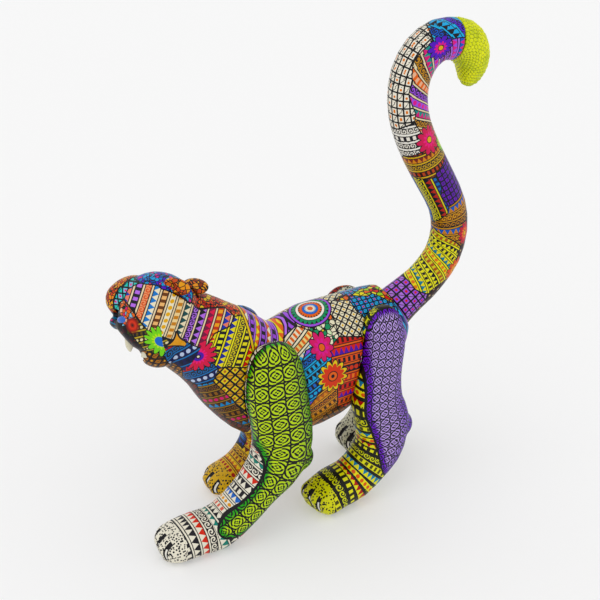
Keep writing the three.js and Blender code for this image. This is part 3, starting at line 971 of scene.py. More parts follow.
paint_leg(
    "hind_right", ("#B8321C", "#F0913A", "#A82418"), (7.0, 8.0), 2.2,
    [("curl", "#CFCDB6", "#26241E"), ("triangle", "#CFCDB6", "#2C6FB8"), ("tooth", "#26241E", "#D4D2BE"),
     ("dot", "#CFCDB6", "#5E8C3A")],
    ("#CBCAB6", BLACK))

# %% [markdown]
# ## Body
#
# The trunk is painted alike on both sides, so its patches use the distance from the middle
# plane. The head is turned, so the head and neck have patches of their own, each with a
# twin on the other cheek. The two paints meet at one painted hem round the shoulders.
#
# Places on the face are given in the head's own directions: across towards its left, back
# towards its nape, and up towards its crown.

# %% The head's own directions
HEAD_MIDDLE = Vector((-11.0, -122.6, 180.0))
HEAD_TURN = Euler((0.0, math.radians(-26), math.radians(-50)), "XYZ").to_matrix()
HEAD_FRONT = HEAD_TURN @ Vector((0, -1, 0))
HEAD_UP = HEAD_TURN @ Vector((0, 0, 1))


def on_head(across, back, up):
    """A point on the head: from its middle towards its left, its back and its crown."""
    return HEAD_MIDDLE + HEAD_TURN @ Vector((across, back, up))


def twin(point):
    """The same place on the head's other side."""
    local = HEAD_TURN.transposed() @ (Vector(point) - HEAD_MIDDLE)
    return on_head(-local.x, local.y, local.z)


def both(*places):
    """Places on the head's left, and their twins on its right."""
    return [tuple(p) for place in places for p in (Vector(place), twin(place))]


def seen_from_head(piece):
    """All points of a piece, in the head's own directions."""
    return (points_of(piece) - np.array(HEAD_MIDDLE)) @ np.array(HEAD_TURN)


def put_on_head(piece, local):
    """Moves a piece's points to places given in the head's own directions."""
    move_points(piece, local @ np.array(HEAD_TURN).T + np.array(HEAD_MIDDLE))


def reshape(piece, scale, step):
    """Stretches a piece about its middle and then moves it, in the head's own directions."""
    local = seen_from_head(piece)
    middle = (local.min(axis=0) + local.max(axis=0)) / 2
    put_on_head(piece, middle + (local - middle) * np.array(scale) + np.array(step))


# %% [markdown]
# The small pieces of the face are fitted last. The ears are worked flatter and lean back
# along the neck, and the eyes and fangs are set where the brow and lips leave them clear.

# %% Fitting the face
EAR_SCALE = (0.85, 1.0, 0.74)
EYE_SCALE = (0.9, 0.9, 0.68)
SAME_SIZE = (1.0, 1.0, 1.0)
for side, sign in (("left", 1), ("right", -1)):
    reshape(ears[side], EAR_SCALE, (sign * -1.5, 1.5 - sign * 1.5, -1.0))
    reshape(eyes[side], EYE_SCALE, (sign * 6.0, 7.0, -1.5))
    reshape(fangs[f"{side}_upper"], SAME_SIZE, (sign * 1.5, 4.0, -3.0))
    reshape(fangs[f"{side}_lower"], SAME_SIZE, (sign * 3.5, 4.5, 5.0))
reshape(tongue, SAME_SIZE, (-3.0, 2.0, 5.0))
print("ears, eyes, fangs and tongue are fitted")

# %% [markdown]
# The face itself is worked with round gouges. Each mark is a smooth dip, or a swelling where
# its depth is taken away instead of added, and it is made on both sides of the head at once.

# %% Gouge marks on the face
SPLIT_HALF = 1.4
SPLIT_START = 22
SPLIT_DEPTH = 0.9


def dent(local, centre, radius, depth):
    """How deep a rounded gouge mark goes at each point, in mm, on both sides of the head."""
    across = np.abs(local[:, 0]) - centre[0]
    back = local[:, 1] - centre[1]
    up = local[:, 2] - centre[2]
    gap = np.sqrt(across ** 2 + back ** 2 + up ** 2)
    return depth * np.exp(-((gap / radius) ** 2))


points, facing = points_of(body), normals_of(body)
local = seen_from_head(body)
nostrils = dent(local, (5.0, -31.0, -4.0), 2.6, 2.4)
sockets = dent(local, (16.0, -16.0, 1.5), 4.0, 1.4)
brows = dent(local, (11.0, -28.0, 13.0), 8.0, 1.0)
cushions = dent(local, (10.0, -26.0, -13.0), 6.0, 1.0)
split = np.exp(-((local[:, 0] / SPLIT_HALF) ** 2)) * np.clip((-local[:, 1] - SPLIT_START) / 6, 0, 1)
push = nostrils + sockets - brows - cushions + SPLIT_DEPTH * split * (local[:, 2] < -6)
lift = dent(local, (15.0, -15.0, -21.0), 13.0, 6.0) + dent(local, (10.0, -28.0, -14.0), 9.0, 2.5)
move_points(body, points - facing * push[:, None] + lift[:, None] * np.array(HEAD_UP))
print(f"deepest gouge mark {push.max():.1f} mm, upper lip lifted {lift.max():.1f} mm")

# %% [markdown]
# The painter mixes one set of colours and uses them all over the figure. The directions of
# the rows are those of the form under them: along the back, up, or slanting between.

# %% The painter's colours
PALE = "#EFE9D2"
LILAC = "#B48BE0"
BLUE = "#2A6FD0"
SKY = "#35AEE6"
RED = "#D42A22"
ORANGE = "#E8661C"
AMBER = "#D98A1E"
YELLOW = "#EBDD22"
GREEN = "#1F8F5C"
PINK = "#E0559A"
SALMON = "#E8937A"
PURPLE = "#5A3AA8"
MAROON = "#6A1A14"
NAVY = "#12246A"
BROWN = "#6B3A14"
LIME = "#9ACB2A"
INK = "#15131C"

BACK = (0, 1, 0)
UP = (0, 0, 1)
FLANK_SLOPE = (0.57, 0.71, -0.42)
FLANK_RISE = (-0.57, 0.71, 0.42)
SLANT = (0, 0.8, -0.6)
RISE = (0, 0.6, 0.8)

# %% Markings of the back
trunk_paint, tree = new_material("varnished_acrylic_trunk")
point = object_mm(tree)
axes = add(tree, "SeparateXYZ", point).node.outputs
side = add(tree, "Math", axes["X"], operation="ABSOLUTE")
trunk_point = add(tree, "CombineXYZ", side, axes["Y"], axes["Z"])

cream_tiles = tiles(tree, trunk_point, FLANK_SLOPE, FLANK_RISE, 4.2, PALE, "#E8B42A")
sky_tiles = tiles(tree, trunk_point, BACK, (0.8, 0, -0.6), 3.8, SKY, RED, "#2E86D8")
ridge = leaves(tree, point, 4.0, [YELLOW, ORANGE, "#F2C418", LIME, RED, YELLOW])
saddle = rows(tree, trunk_point, SLANT, RISE, 5.6, 4.2,
              [("tooth", INK, LILAC), ("triangle", PALE, SALMON), ("tooth", LILAC, INK),
               ("triangle", ORANGE, YELLOW)], rail="#C9A0EE")
shoulder_rows = rows(tree, trunk_point, (0, -0.55, 0.83), (0, 0.83, 0.55), 5.6, 3.6,
                     [("tooth", PALE, SALMON), ("tooth", INK, PALE), ("triangle", PALE, SKY),
                      ("tooth", "#F2DFA8", SALMON)], rail=PALE)
meadow = leaves(tree, trunk_point, 3.4, [PALE, PALE, "#DCEBC8", "#F0D25A", GREEN, PALE, ORANGE])
print("back:", len(tree.nodes), "nodes")

# %% Markings of the flanks and belly
blue_rows = rows(tree, trunk_point, (0, -0.45, 0.89), (0, 0.89, 0.45), 6.2, 4.0,
                 [("triangle", INK, SKY), ("tooth", SKY, INK), ("curl", BLUE, INK),
                  ("triangle", BLUE, LILAC), ("dot", NAVY, SKY), ("tooth", INK, BLUE)], rail=SKY)
ladder = rows(tree, trunk_point, UP, BACK, 7.4, 4.2,
              [("tooth", "#C62A12", "#F0803A"), ("dot", INK, "#D8391E"), ("tooth", "#E4521C", INK),
               ("triangle", RED, PURPLE), ("tooth", RED, "#3A0C0A")], rail="#E86A2A")
belly_rows = rows(tree, trunk_point, (0, -0.5, 0.86), (0, 0.86, 0.5), 6.4, 4.4,
                  [("tooth", AMBER, "#3A1C08"), ("curl", "#C9761A", INK),
                   ("triangle", "#B35F16", AMBER), ("curl", INK, "#C27A22")], rail="#E29A2E")
belly_tiles = tiles(tree, trunk_point, (0.4, 0.86, 0.3), (0.9, -0.3, 0.3), 4.6,
                    "#A8691C", MAROON, BROWN)
lilac_rows = rows(tree, trunk_point, BACK, UP, 5.0, 4.0,
                  [("curl", LILAC, INK), ("triangle", PINK, LILAC), ("dot", PALE, PINK)],
                  rail=LILAC)
rump_rows = rows(tree, trunk_point, (0, 0.9, 0.4), (1, 0, 0), 6.0, 4.2,
                 [("triangle", PURPLE, SKY), ("curl", INK, LILAC), ("tooth", SKY, NAVY)],
                 rail=LILAC)

# %% Patches of the trunk
paint = patchwork(tree, trunk_point, [
    ([(5, 2, 166)], meadow),
    ([(16, 3, 152), (10, -4, 158)], meadow),
    ([(20, 23, 154), (9, 24, 163)], cream_tiles),
    ([(13, 48, 160), (8, 40, 165), (22, 52, 155)], sky_tiles),
    ([(0, 62, 163), (0, 44, 168), (0, 28, 170)], ridge),
    ([(4, -26, 162), (3, -40, 160), (20, -40, 155)], saddle),
    ([(20, -16, 149), (26, -24, 143)], shoulder_rows),
    ([(31, -16, 126), (33, -20, 108), (30, -12, 137)], blue_rows),
    ([(33, 18, 120), (31, 18, 136), (33, 22, 100)], ladder),
    ([(31, -6, 97), (28, -14, 78)], belly_rows),
    ([(18, 6, 72), (6, 30, 76), (0, -10, 60), (0, 60, 98), (0, -50, 66)], belly_tiles),
    ([(34, 36, 120), (33, 38, 96)], lilac_rows),
    ([(18, 84, 128), (26, 74, 138), (0, 84, 108), (10, 80, 152)], rump_rows),
])

# %% Flowers of the trunk
MANDALA_MIDDLE = (2.0, 0.0, 164.0)
paint = flower(tree, paint, point, MANDALA_MIDDLE, (0.1, 1, 0), (0.93, 0, -0.35), 16, 24, [
    (1.06, BLACK, 0.0), (1.0, LILAC, 0.0), (0.92, BLACK, 0.02), (0.92, GREEN, 0.16),
    (0.72, BLACK, 0.0), (0.69, "#F4F1EA", 0.0), (0.58, BLACK, 0.0), (0.58, ORANGE, 0.12),
    (0.4, BLACK, 0.0), (0.38, BLUE, 0.0), (0.28, PALE, 0.1), (0.14, ORANGE, 0.0)])
paint = flower(tree, paint, trunk_point, (27, -3, 142), (0, 1, 0.2), (0.2, -0.2, 1), 9, 9, [
    (1.08, BLACK, 0.3), (1.0, "#D8246A", 0.36), (0.62, PINK, 0.3), (0.3, BLACK, 0.0),
    (0.24, SALMON, 0.0)])
paint = flower(tree, paint, trunk_point, (34, 3, 119), BACK, UP, 12.5, 12, [
    (1.08, BLACK, 0.3), (1.0, "#E8C81E", 0.36), (0.8, "#D83A1A", 0.2), (0.34, BLACK, 0.0),
    (0.28, ORANGE, 0.0), (0.12, INK, 0.0)])

# %% [markdown]
# The trunk and the head are two materials on one piece of wood. Faces are shared out by
# which side of a plane their middle lies on, which gives a ragged edge, so both paints draw
# the same cord over it.

# %% Hem between trunk and neck
HEM_Y = -58.0
HEM_HALF = 1.7
CORD_HALF = 0.9


def painted_hem(tree, paint, y):
    """The yellow cord and two black lines where the trunk's paint meets the neck's."""
    gap = add(tree, "Math", y, HEM_Y, operation="SUBTRACT")
    gap = add(tree, "Math", gap, operation="ABSOLUTE")
    line = add(tree, "Math", gap, HEM_HALF, operation="LESS_THAN")
    cord = add(tree, "Math", gap, CORD_HALF, operation="LESS_THAN")
    paint = paint_over(tree, paint, BLACK, line)
    return paint_over(tree, paint, "#E9C23A", cord)


paint = painted_hem(tree, paint, axes["Y"])
finish_paint(tree, paint)
print(f"{trunk_paint.name}: {len(tree.nodes)} nodes")

# %% [markdown]
# On the neck and cheeks the rows go round the neck like collars, so they step along its
# axis. Brow, crown and nape are filled with tiny leaves.

# %% Markings of the neck
NECK_AXIS = (0.458, 0.815, -0.356)
NECK_SIDE = (-0.25, 0.3, 0.92)
COLLAR_WIDTH = 6.2
FIRST_COLLAR = -183.0

head_paint, tree = new_material("varnished_acrylic_head")
point = object_mm(tree)
axes = add(tree, "SeparateXYZ", point).node.outputs
cheek_rows = rows(
    tree, point, NECK_AXIS, NECK_SIDE, COLLAR_WIDTH, 4.6,
    [("curl", "#F0B49A", "#D8582E"), ("triangle", PALE, "#1F78C8"), ("tooth", BROWN, "#F0C9A0"),
     ("dot", PALE, "#E8B03A"), ("tooth", "#F2DDB4", "#C98A4A"), ("triangle", "#F1E6CC", "#0F4A4C"),
     ("curl", "#2A1448", "#C8A0EE"), ("triangle", "#C59BE8", INK), ("triangle", "#E03A5A", "#7A1440"),
     ("tooth", "#C43412", "#F2B878"), ("triangle", "#F0A89A", "#1F38B0"), ("tooth", INK, "#C79BEA")],
    start=FIRST_COLLAR, rail="#EBDCC0")
yellow_rows = rows(
    tree, point, NECK_AXIS, NECK_SIDE, COLLAR_WIDTH, 4.4,
    [("tooth", INK, "#E4E87A"), ("triangle", YELLOW, "#1F2E9A"), ("curl", "#D8C81E", INK),
     ("tooth", INK, YELLOW), ("triangle", "#E8D820", RED)], start=FIRST_COLLAR, rail="#EFE63A")
navy_rows = rows(
    tree, point, (-0.1, -0.5, 0.86), (0.5, 0.8, 0.3), 7.0, 5.2,
    [("curl", "#1766A8", INK), ("triangle", "#14205C", "#C42A2A"), ("tooth", "#10184A", "#0B0F30"),
     ("dot", "#131C50", "#C9D4E8")], rail="#2E74B8")
gold_tiles = tiles(tree, point, (0.4, 0.62, -0.68), (-0.1, 0.75, 0.66), 5.4,
                   "#D9A024", "#B8641C", "#E8CE2A")
brown_rows = rows(
    tree, point, (-0.1, -0.45, 0.89), (0.4, 0.8, 0.4), 6.2, 4.6,
    [("curl", "#7A4E14", INK), ("triangle", "#4A2A0C", "#2C8CC8"), ("dot", "#6E3F12", "#D83A7A"),
     ("tooth", "#2A160A", "#8A5A1A")], rail="#9A7426")
throat_tiles = tiles(tree, point, (0.5, 0.6, -0.5), (0.9, -0.3, 0.2), 4.2,
                     "#7A1E12", "#3A0C08", "#5E2410")
nape = leaves(tree, point, 3.0, ["#C8321C", ORANGE, "#B8281C", "#E8661C", "#E8C23A"])
print("neck:", len(tree.nodes), "nodes")

# %% Markings of the face
crown = leaves(tree, point, 2.7, ["#2C7CC8", "#4FA6E0", "#1F4FA8", "#6E58C0", SKY, "#D84A9A"])
brow = leaves(tree, point, 2.4, ["#E8661A", "#D2480F", "#F08A1E", "#C93C10", "#F0B020"], (1, 1.3, 1))
blush = leaves(tree, point, 2.6, [SALMON, "#F0B49A", "#D84A7A", "#F4D0B8", "#9CCBE0", "#E8663A"])
border = tiles(tree, point, (0.5, 0.8, 0.2), (-0.3, 0.2, 0.9), 4.2, "#6FC9BE", PINK, "#9CCBE0")
muzzle_rows = rows(
    tree, point, (-0.2, 0.3, 0.93), (0.7, -0.7, 0.1), 3.6, 4.0,
    [("tooth", "#0E1626", "#1FA0C8"), ("plain", "#121426", "#121426"),
     ("tooth", "#1A1430", "#D8508A")], rail="#1E6E96")
lip = leaves(tree, point, 3.2, ["#241018", "#3A1420", "#18121E", "#5A2418", "#2C3A1C"])
jaw_tiles = tiles(tree, point, (0.5, 0.6, -0.5), (0.5, -0.2, 0.8), 4.0,
                  "#A86A1A", "#E0A030", "#5A3410")
cheek_line = rows(
    tree, point, (-0.1, -0.35, 0.93), (0.75, 0.65, 0.1), 4.4, 3.4,
    [("dot", "#3E3416", "#E4DCB8"), ("tooth", "#5A4A1E", INK)], rail="#B8A868")
print("face:", len(tree.nodes), "nodes")

# %% Patches of the head and neck
paint = patchwork(tree, point, [
    (both(on_head(22, -13, 4)), blush),
    (both(on_head(20, -7, 13), on_head(21, 6, 13), on_head(21, 18, 12), on_head(23, 14, 0)) +
     [(17, -98, 180), (10, -84, 182), (-22, -86, 172), (-30, -92, 160)], cheek_rows),
    ([(22, -80, 162), (21, -66, 163), (24, -70, 156), (-28, -66, 158), (-30, -74, 146)],
     yellow_rows),
    (both((19, -117, 160), (17, -103, 142)) + [(20, -108, 150), (-18, -96, 140)], navy_rows),
    ([(26, -76, 132), (24, -62, 128), (-28, -74, 126), (28, -64, 112)], gold_tiles),
    ([(15, -90, 120), (16, -76, 104), (-18, -84, 112)], brown_rows),
    ([(0, -100, 122), (3, -78, 92), (0, -62, 74)], throat_tiles),
    ([(-4, -92, 190), (-7, -72, 180), (-9, -60, 168), (2, -84, 188)], nape),
    (both(on_head(9, -8, 27), on_head(9, 4, 29), on_head(9, 16, 28)) +
     [tuple(on_head(0, -8, 32)), tuple(on_head(0, 6, 33)), tuple(on_head(0, 20, 32))], crown),
    (both(on_head(18, -26, 4), on_head(15, -24, 13), on_head(10, -20, 22), on_head(4, -17.5, 28)),
     brow),
    (both(on_head(20, -19, 3), on_head(17, -17, 12), on_head(12, -13, 21), on_head(5, -11, 27)),
     border),
    (both(on_head(13, -28, -6), on_head(9, -32, -12)) + [tuple(on_head(0, -36, -8))], muzzle_rows),
    (both(on_head(18, -16, -19), on_head(22, -3, -17), on_head(12, -24, -20)), lip),
    (both(on_head(12, 3, -33), on_head(9, 16, -34)), jaw_tiles),
    (both(on_head(24, 4, -12), on_head(24, 10, -15)), cheek_line),
])

# %% [markdown]
# Round the eye lies a black almond, and behind it a red spot whose rings are laid wet over
# each other, so their edges are soft. Fans and a golden triangle fill the cheek.

# %% Eye rims, spots and fans
EYE_RIM = 6.2
SPOT_RINGS = ((6.5, "#8A1A12"), (4.6, "#E03A20"), (2.6, "#1A0608"))
SPOT_BLEND = 2.0
FAN_DIRECTION = (0.3, 0.85, -0.5)

for place in both(on_head(23, -17, -5)):
    away = add(tree, "VectorMath", point, place, operation="DISTANCE")
    rim = add(tree, "Math", away, EYE_RIM, operation="LESS_THAN")
    paint = paint_over(tree, paint, BLACK, rim)
for place in both(on_head(26, -2, -5)):
    away = add(tree, "VectorMath", point, place, operation="DISTANCE")
    for reach, tone in SPOT_RINGS:
        soft = add(tree, "MapRange", away, reach, reach - SPOT_BLEND)
        paint = paint_over(tree, paint, tone, soft)
for place in both(on_head(21, 18, -13.5)):
    paint = flower(tree, paint, point, place, HEAD_FRONT, HEAD_UP, 12.0, 15, [
        (0.98, BLACK, 0.3), (0.92, "#7CD832", 0.36), (0.5, "#C8E87A", 0.24),
        (0.3, BLUE, 0.0)], HEAD_FRONT)
for place in both(on_head(11.5, 27.5, -12.5)):
    paint = hollow_triangle(tree, paint, point, place, HEAD_FRONT, HEAD_UP, 13.0, "#E8A01E")
for place in ((22, -102, 158), (-24, -94, 150)):
    paint = flower(tree, paint, point, place, (0.4, 0.8, -0.3), (0, 0.2, 1), 13.0, 15, [
        (1.05, BLACK, 0.3), (0.98, "#D81E4A", 0.36), (0.5, "#F0508A", 0.26), (0.3, PURPLE, 0.0),
        (0.14, INK, 0.0), (0.07, PALE, 0.0)], FAN_DIRECTION)
paint = painted_hem(tree, paint, axes["Y"])
finish_paint(tree, paint)
print(f"{head_paint.name}: {len(tree.nodes)} nodes")

# %% Sharing out the faces
body.data.materials.append(trunk_paint)
body.data.materials.append(head_paint)
middles = np.empty(len(body.data.polygons) * 3)
body.data.polygons.foreach_get("center", middles)
ahead = (middles.reshape(-1, 3)[:, 1] / MM < HEM_Y).astype(np.int32)
body.data.polygons.foreach_set("material_index", ahead)
print(f"faces of the head and neck: {ahead.sum()} of {len(ahead)}")

# %% [markdown]
# ## Tail and tuft
#
# The tail is one long rod, so its patches are laid out as if it were unrolled: how far
# along it, and how far round it from the side that faces forwards. The tuft is turned in
# raised beads, carved as real bumps, under yellow paint.

# %% Unrolling the tail
TAIL_LINE = [(70, 136), (77, 140), (94, 151), (108, 161), (118, 173), (125, 186), (127, 200),
             (124, 218), (112, 243), (99, 268), (89, 292), (84, 314), (85, 333), (94, 348),
             (108, 355), (124, 354), (133, 348), (139, 337), (140, 326), (136, 312)]
TAIL_ROUND = 15.4
BARE_TENON = 6.0
tail_curve = smooth_line(TAIL_LINE)


def unroll(piece):
    """How far along the tail, and how far round from the forward side, each point lies."""
    points = points_of(piece)
    along, behind = beside_line(points[:, 1:], tail_curve)
    around = np.arctan2(points[:, 0], -behind) * TAIL_ROUND
    keep_values(piece, "tail_place", np.stack([along, around, np.zeros(len(points))], axis=1))
    return along, around


tail_along, _ = unroll(tail)
tuft_along, tuft_around = unroll(tuft)
print(f"tail: {tail_along.max():.0f} mm along, tuft from {tuft_along.min():.0f} mm")

# %% [markdown]
# Rows run round the tail like bands, or lean a little so that they wind up it. The colours
# go from yellow and red at the root to blue and lilac under the tuft.

# %% Markings of the lower tail
LONG = (1, 0, 0)
ROUND = (0, 1, 0)

tail_paint, tree = new_material("varnished_acrylic_tail")
place = kept(tree, "tail_place")["Vector"]
lilac_tiles = tiles(tree, place, LONG, ROUND, 5.0, "#C49FE6", RED, "#B48BE0")
sun_rows = rows(tree, place, (0.94, 0.34, 0), (-0.34, 0.94, 0), 5.8, 4.2,
                [("dot", YELLOW, "#E07A1E"), ("triangle", YELLOW, "#1F7F96"),
                 ("tooth", "#E8E01E", INK), ("triangle", INK, "#EDE81C"),
                 ("tooth", "#D8C81C", "#A8521A")], rail="#F0EC3A")
under_tiles = tiles(tree, place, (1, 0.4, 0), (-0.4, 1, 0), 4.4, "#3A0E10", "#C8BE9A", "#4A1410")
earth_rows = rows(tree, place, LONG, ROUND, 7.0, 5.0,
                  [("curl", BROWN, "#D8A45A"), ("triangle", "#2A5FB8", "#C98A4A"),
                   ("curl", INK, "#B8803A")], rail="#C9954A")
plum_tiles = tiles(tree, place, LONG, ROUND, 4.8, "#7A4FB8", "#4A2A80", "#6A3FA8")
gold_rows = rows(tree, place, ROUND, LONG, 7.0, 5.0,
                 [("curl", "#D8D01E", INK), ("triangle", "#B82A1C", INK),
                  ("tooth", NAVY, "#2A6FB8")], rail="#E0D42A")
copper_rows = rows(tree, place, LONG, ROUND, 6.4, 4.0,
                   [("tooth", "#2A0E0A", "#B84A2A"), ("curl", "#C9A01E", INK),
                    ("triangle", "#7A2414", AMBER)], rail="#D8B03A")
print("lower tail:", len(tree.nodes), "nodes")

# %% Markings of the upper tail
white_rows = rows(tree, place, LONG, ROUND, 6.0, 4.6,
                  [("curl", INK, "#F1EEE4"), ("tooth", INK, "#F1EEE4"), ("curl", "#F1EEE4", INK)],
                  rail="#F4F2EA")
pearl_tiles = tiles(tree, place, LONG, ROUND, 4.8, "#F3EFE2", "#E07A1E", "#F3EFE2")
rose_rows = rows(tree, place, (0.85, 0.5, 0), (-0.5, 0.85, 0), 6.6, 4.6,
                 [("curl", LILAC, INK), ("tooth", SALMON, "#F0C8B0"), ("curl", "#C9A070", INK),
                  ("triangle", "#1F8A86", "#D84A86"), ("dot", LILAC, PINK)], rail="#E8DCC0")
azure_rows = rows(tree, place, (0.9, -0.4, 0), (0.4, 0.9, 0), 6.4, 4.6,
                  [("curl", "#2A5FC8", INK), ("triangle", SKY, INK), ("curl", "#8A7AD8", INK),
                   ("tooth", "#1F9AC0", "#9AD8E8")], rail="#58B8E8")
dusk_rows = rows(tree, place, LONG, ROUND, 6.0, 5.0,
                 [("triangle", PINK, "#2A5FC8"), ("curl", LILAC, INK), ("triangle", LILAC, PINK)],
                 rail="#C9A0EE")
print("upper tail:", len(tree.nodes), "nodes")

# %% Patches of the tail
paint = patchwork(tree, place, [
    ([(16, 0, 0), (14, 18, 0), (14, -18, 0)], lilac_tiles),
    ([(44, 4, 0), (60, 12, 0), (48, -24, 0), (78, 6, 0), (74, -20, 0)], sun_rows),
    ([(38, 42, 0), (38, -42, 0), (70, 44, 0), (70, -44, 0), (100, 44, 0), (100, -44, 0),
      (14, 38, 0), (14, -38, 0)], under_tiles),
    ([(98, 18, 0), (94, -22, 0), (110, 30, 0)], earth_rows),
    ([(130, 30, 0), (146, 34, 0), (138, -40, 0)], plum_tiles),
    ([(124, 2, 0), (142, 4, 0), (128, -16, 0)], gold_rows),
    ([(164, 8, 0), (166, 30, 0), (164, -24, 0)], copper_rows),
    ([(184, -8, 0), (186, 6, 0), (184, -40, 0)], white_rows),
    ([(208, 0, 0), (228, -4, 0), (248, -6, 0), (218, -30, 0)], pearl_tiles),
    ([(196, 34, 0), (220, 32, 0), (242, 28, 0), (228, 48, 0)], rose_rows),
    ([(270, 2, 0), (286, 4, 0), (276, -30, 0), (300, -20, 0)], azure_rows),
    ([(270, 34, 0), (292, 34, 0), (312, 20, 0), (310, -44, 0)], dusk_rows),
])

# %% [markdown]
# Flowers sit where patches meet. The peg that goes into the body is left unpainted, as
# paint would make it bind in its hole.

# %% Flowers of the tail
TAIL_FLOWERS = (
    ((62, 32, 0), ("#E2581A", "#F0A02A"), 10),
    ((90, 30, 0), ("#C81E3A", "#F07A2A"), 9),
    ((182, 26, 0), ("#D42A5A", "#F07AA0"), 12),
    ((170, 42, 0), ("#8AC81E", "#E0E86A"), 8),
    ((256, 20, 0), ("#6A4AC0", PINK), 9),
)
TAIL_PETALS = 11

for centre, (outer, inner), radius in TAIL_FLOWERS:
    paint = flower(tree, paint, place, centre, LONG, ROUND, radius, TAIL_PETALS, [
        (1.08, BLACK, 0.3), (1.0, outer, 0.36), (0.55, inner, 0.26), (0.26, BLACK, 0.0),
        (0.2, "#E8B02A", 0.0)])
along = add(tree, "SeparateXYZ", place)
bare = add(tree, "Math", along, BARE_TENON, operation="LESS_THAN")
paint = paint_over(tree, paint, "#CFA873", bare)
finish_paint(tree, paint)
tail.data.materials.append(tail_paint)
print(f"{tail_paint.name}: {len(tree.nodes)} nodes")

# %% [markdown]
# The tuft is covered in beads set in offset rows. On the real figure each could be a dab of
# thick paint or a small cut dome; either way it stands up and catches the light, so here
# the beads are real bumps. They fade out at the joint, where tuft and tail have to meet.

# %% Beads of the tuft
BEAD_PITCH = 3.3
ROW_STEP = 0.87
BEADS_ROUND = 29
BEAD_REACH = 0.46
BEAD_DOME = 0.7
BEAD_HEIGHT = 0.75
BEAD_SINK = 0.2
JOINT_GAP = 1.0
JOINT_FADE = 1.5

bead_row = tuft_along / (BEAD_PITCH * ROW_STEP)
every_second = 0.5 * (np.floor(bead_row) % 2)
bead_turn = tuft_around / (math.tau * TAIL_ROUND) * BEADS_ROUND + every_second
bead_gap = np.hypot((bead_row % 1 - 0.5) * ROW_STEP, bead_turn % 1 - 0.5)
bead = np.clip(1 - (bead_gap / BEAD_REACH) ** 2, 0, 1) ** BEAD_DOME
at_joint = np.clip((tuft_along - tuft_along.min() - JOINT_GAP) / JOINT_FADE, 0, 1)
lift = BEAD_HEIGHT * bead * at_joint - BEAD_SINK
move_points(tuft, points_of(tuft) + normals_of(tuft) * lift[:, None])
keep_values(tuft, "bead_height", bead)
print(f"tuft: {BEADS_ROUND} beads round, {lift.max():.2f} mm high")

# %% [markdown]
# The tuft's yellow is a clear acrylic brushed over the beads. The hollows between the beads get
# painted shade, dark and olive, and a slow change of tone keeps it from looking flat.

# %% Paint of the tuft
TONE_CHANGE = 0.09
HOLLOW_SHADE_LIMIT = 0.35
TUFT_ROUGHNESS = 0.38

tuft_paint, tree = new_material("varnished_acrylic_tuft")
height = kept(tree, "bead_height")["Fac"]
warm = add(tree, "TexNoise", object_mm(tree), TONE_CHANGE, 2.0)
tone = paint_over(tree, "#C6D600", "#F2F60A", add(tree, "MapRange", warm, 0.35, 0.65))
# painted shade: olive where the bead height is low, in the hollows between the beads
hollow = add(tree, "MapRange", height, 0.0, HOLLOW_SHADE_LIMIT, 1.0, 0.0)
tone = paint_over(tree, tone, "#8E9A00", hollow)
finish_paint(tree, tone, TUFT_ROUGHNESS)
tuft.data.materials.append(tuft_paint)
print(f"{tuft_paint.name}: {len(tree.nodes)} nodes")

# %% [markdown]
# ## Ears, eyes, teeth and tongue
#
# The ears pull out on pegs. They have the same leaves as the brow, a little larger, in
# orange and amber.

# %% Ears
EAR_LEAF = 3.2

ear_paint, tree = new_material("varnished_acrylic_ear")
cup = leaves(tree, object_mm(tree), EAR_LEAF,
             ["#E8701C", "#F09A2A", "#C94A12", "#E8A030", "#8A3410"])
finish_paint(tree, cup)
for ear in ears.values():
    ear.data.materials.append(ear_paint)
print(f"{ear_paint.name}: on {len(ears)} ears")

# %% [markdown]
# The eyes are turned beads dipped in enamel. Enamel levels itself as it dries, so it is
# much smoother than the brushed paint round it and gives one small sharp highlight. The
# blue is light in the middle and darker at the rim.

# %% Eyes
IRIS_INNER = 2.0
IRIS_OUTER = 5.5
ENAMEL_ROUGHNESS = 0.15
ENAMEL_COAT = 1.0
COAT_ROUGHNESS = 0.03

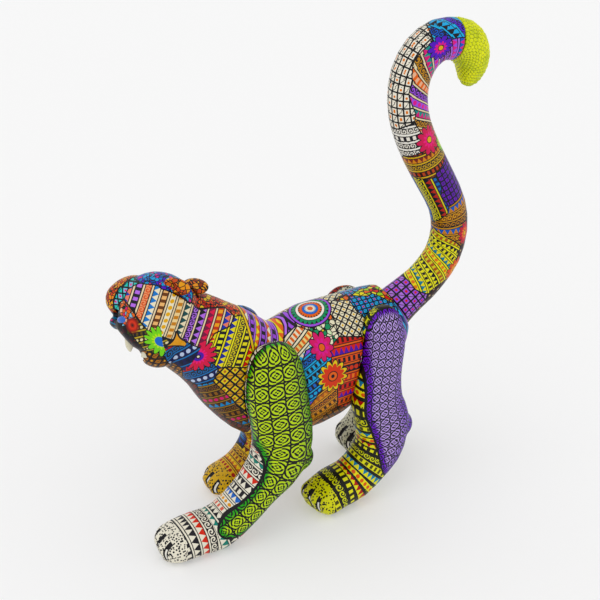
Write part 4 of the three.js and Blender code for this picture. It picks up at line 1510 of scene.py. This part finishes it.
for side, eye in eyes.items():
    low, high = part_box(f"{side}_eye")
    centre = (low + high) / 2 / MM
    eye_paint, tree = new_material(f"glossy_enamel_{side}_eye")
    away = add(tree, "VectorMath", object_mm(tree), tuple(centre), operation="DISTANCE")
    ring = add(tree, "MapRange", away, IRIS_INNER, IRIS_OUTER)
    tone = paint_over(tree, "#3C9CF0", "#1C66C8", ring)
    shader = finish_paint(tree, tone, ENAMEL_ROUGHNESS)
    shader.inputs["Coat Weight"].default_value = ENAMEL_COAT
    shader.inputs["Coat Roughness"].default_value = COAT_ROUGHNESS
    eye.data.materials.append(eye_paint)
    print(f"{side} eye, middle at", [round(value, 1) for value in centre])

# %% [markdown]
# The fangs are whittled wood with several thin coats of off-white, rubbed down between
# coats, and the tongue is one flat red. Both have a faint cloudiness, as a brush leaves
# more paint in one place than in another.

# %% Fangs and tongue


def plain_paint(name, dark, light, cloud_size, roughness):
    """One colour, brushed a little unevenly."""
    material, tree = new_material(name)
    cloud = add(tree, "TexNoise", object_mm(tree), cloud_size, 2.0)
    finish_paint(tree, paint_over(tree, dark, light, cloud), roughness)
    return material


ivory = plain_paint("polished_ivory_paint", "#D8D2BA", "#F3F0E2", 0.25, 0.25)
for fang in fangs.values():
    fang.data.materials.append(ivory)
red_paint = plain_paint("varnished_red_tongue", "#B01820", "#D83038", 0.3, 0.3)
tongue.data.materials.append(red_paint)
print(f"{ivory.name}: on {len(fangs)} fangs; {red_paint.name}")

# %% [markdown]
# The dowels that hold the legs on are bare beech. Turned beech is pale and dull, with fine
# grain along the dowel, which here lies across the body, so the noise is stretched that way.

# %% Dowels
GRAIN_STRETCH = (0.12, 1.4, 1.4)
BARE_ROUGHNESS = 0.7

beech, tree = new_material("turned_beech_dowel")
grain_place = add(tree, "VectorMath", object_mm(tree), GRAIN_STRETCH, operation="MULTIPLY")
grain = add(tree, "TexNoise", grain_place, 1.0, 4.0)
shader = add(tree, "BsdfPrincipled", paint_over(tree, "#B98A55", "#DDB98A", grain)).node
shader.inputs["Roughness"].default_value = BARE_ROUGHNESS
add(tree, "OutputMaterial", shader.outputs["BSDF"])
for name in LEG_NAMES:
    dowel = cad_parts[f"{name}_dowel"]
    dowel.data.materials.clear()
    dowel.data.materials.append(beech)
print(f"{beech.name}: on {len(LEG_NAMES)} dowels")

# %% [markdown]
# ## The finished figure
#
# The size of the shown model is printed. Sanding rounds the ends of the nose and the tail, so
# the shown model is a millimetre or two shorter than the CAD.

# %% Size
low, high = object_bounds()
print("shown model, mm:", [round((b - a) / MM, 1) for a, b in zip(low, high)])
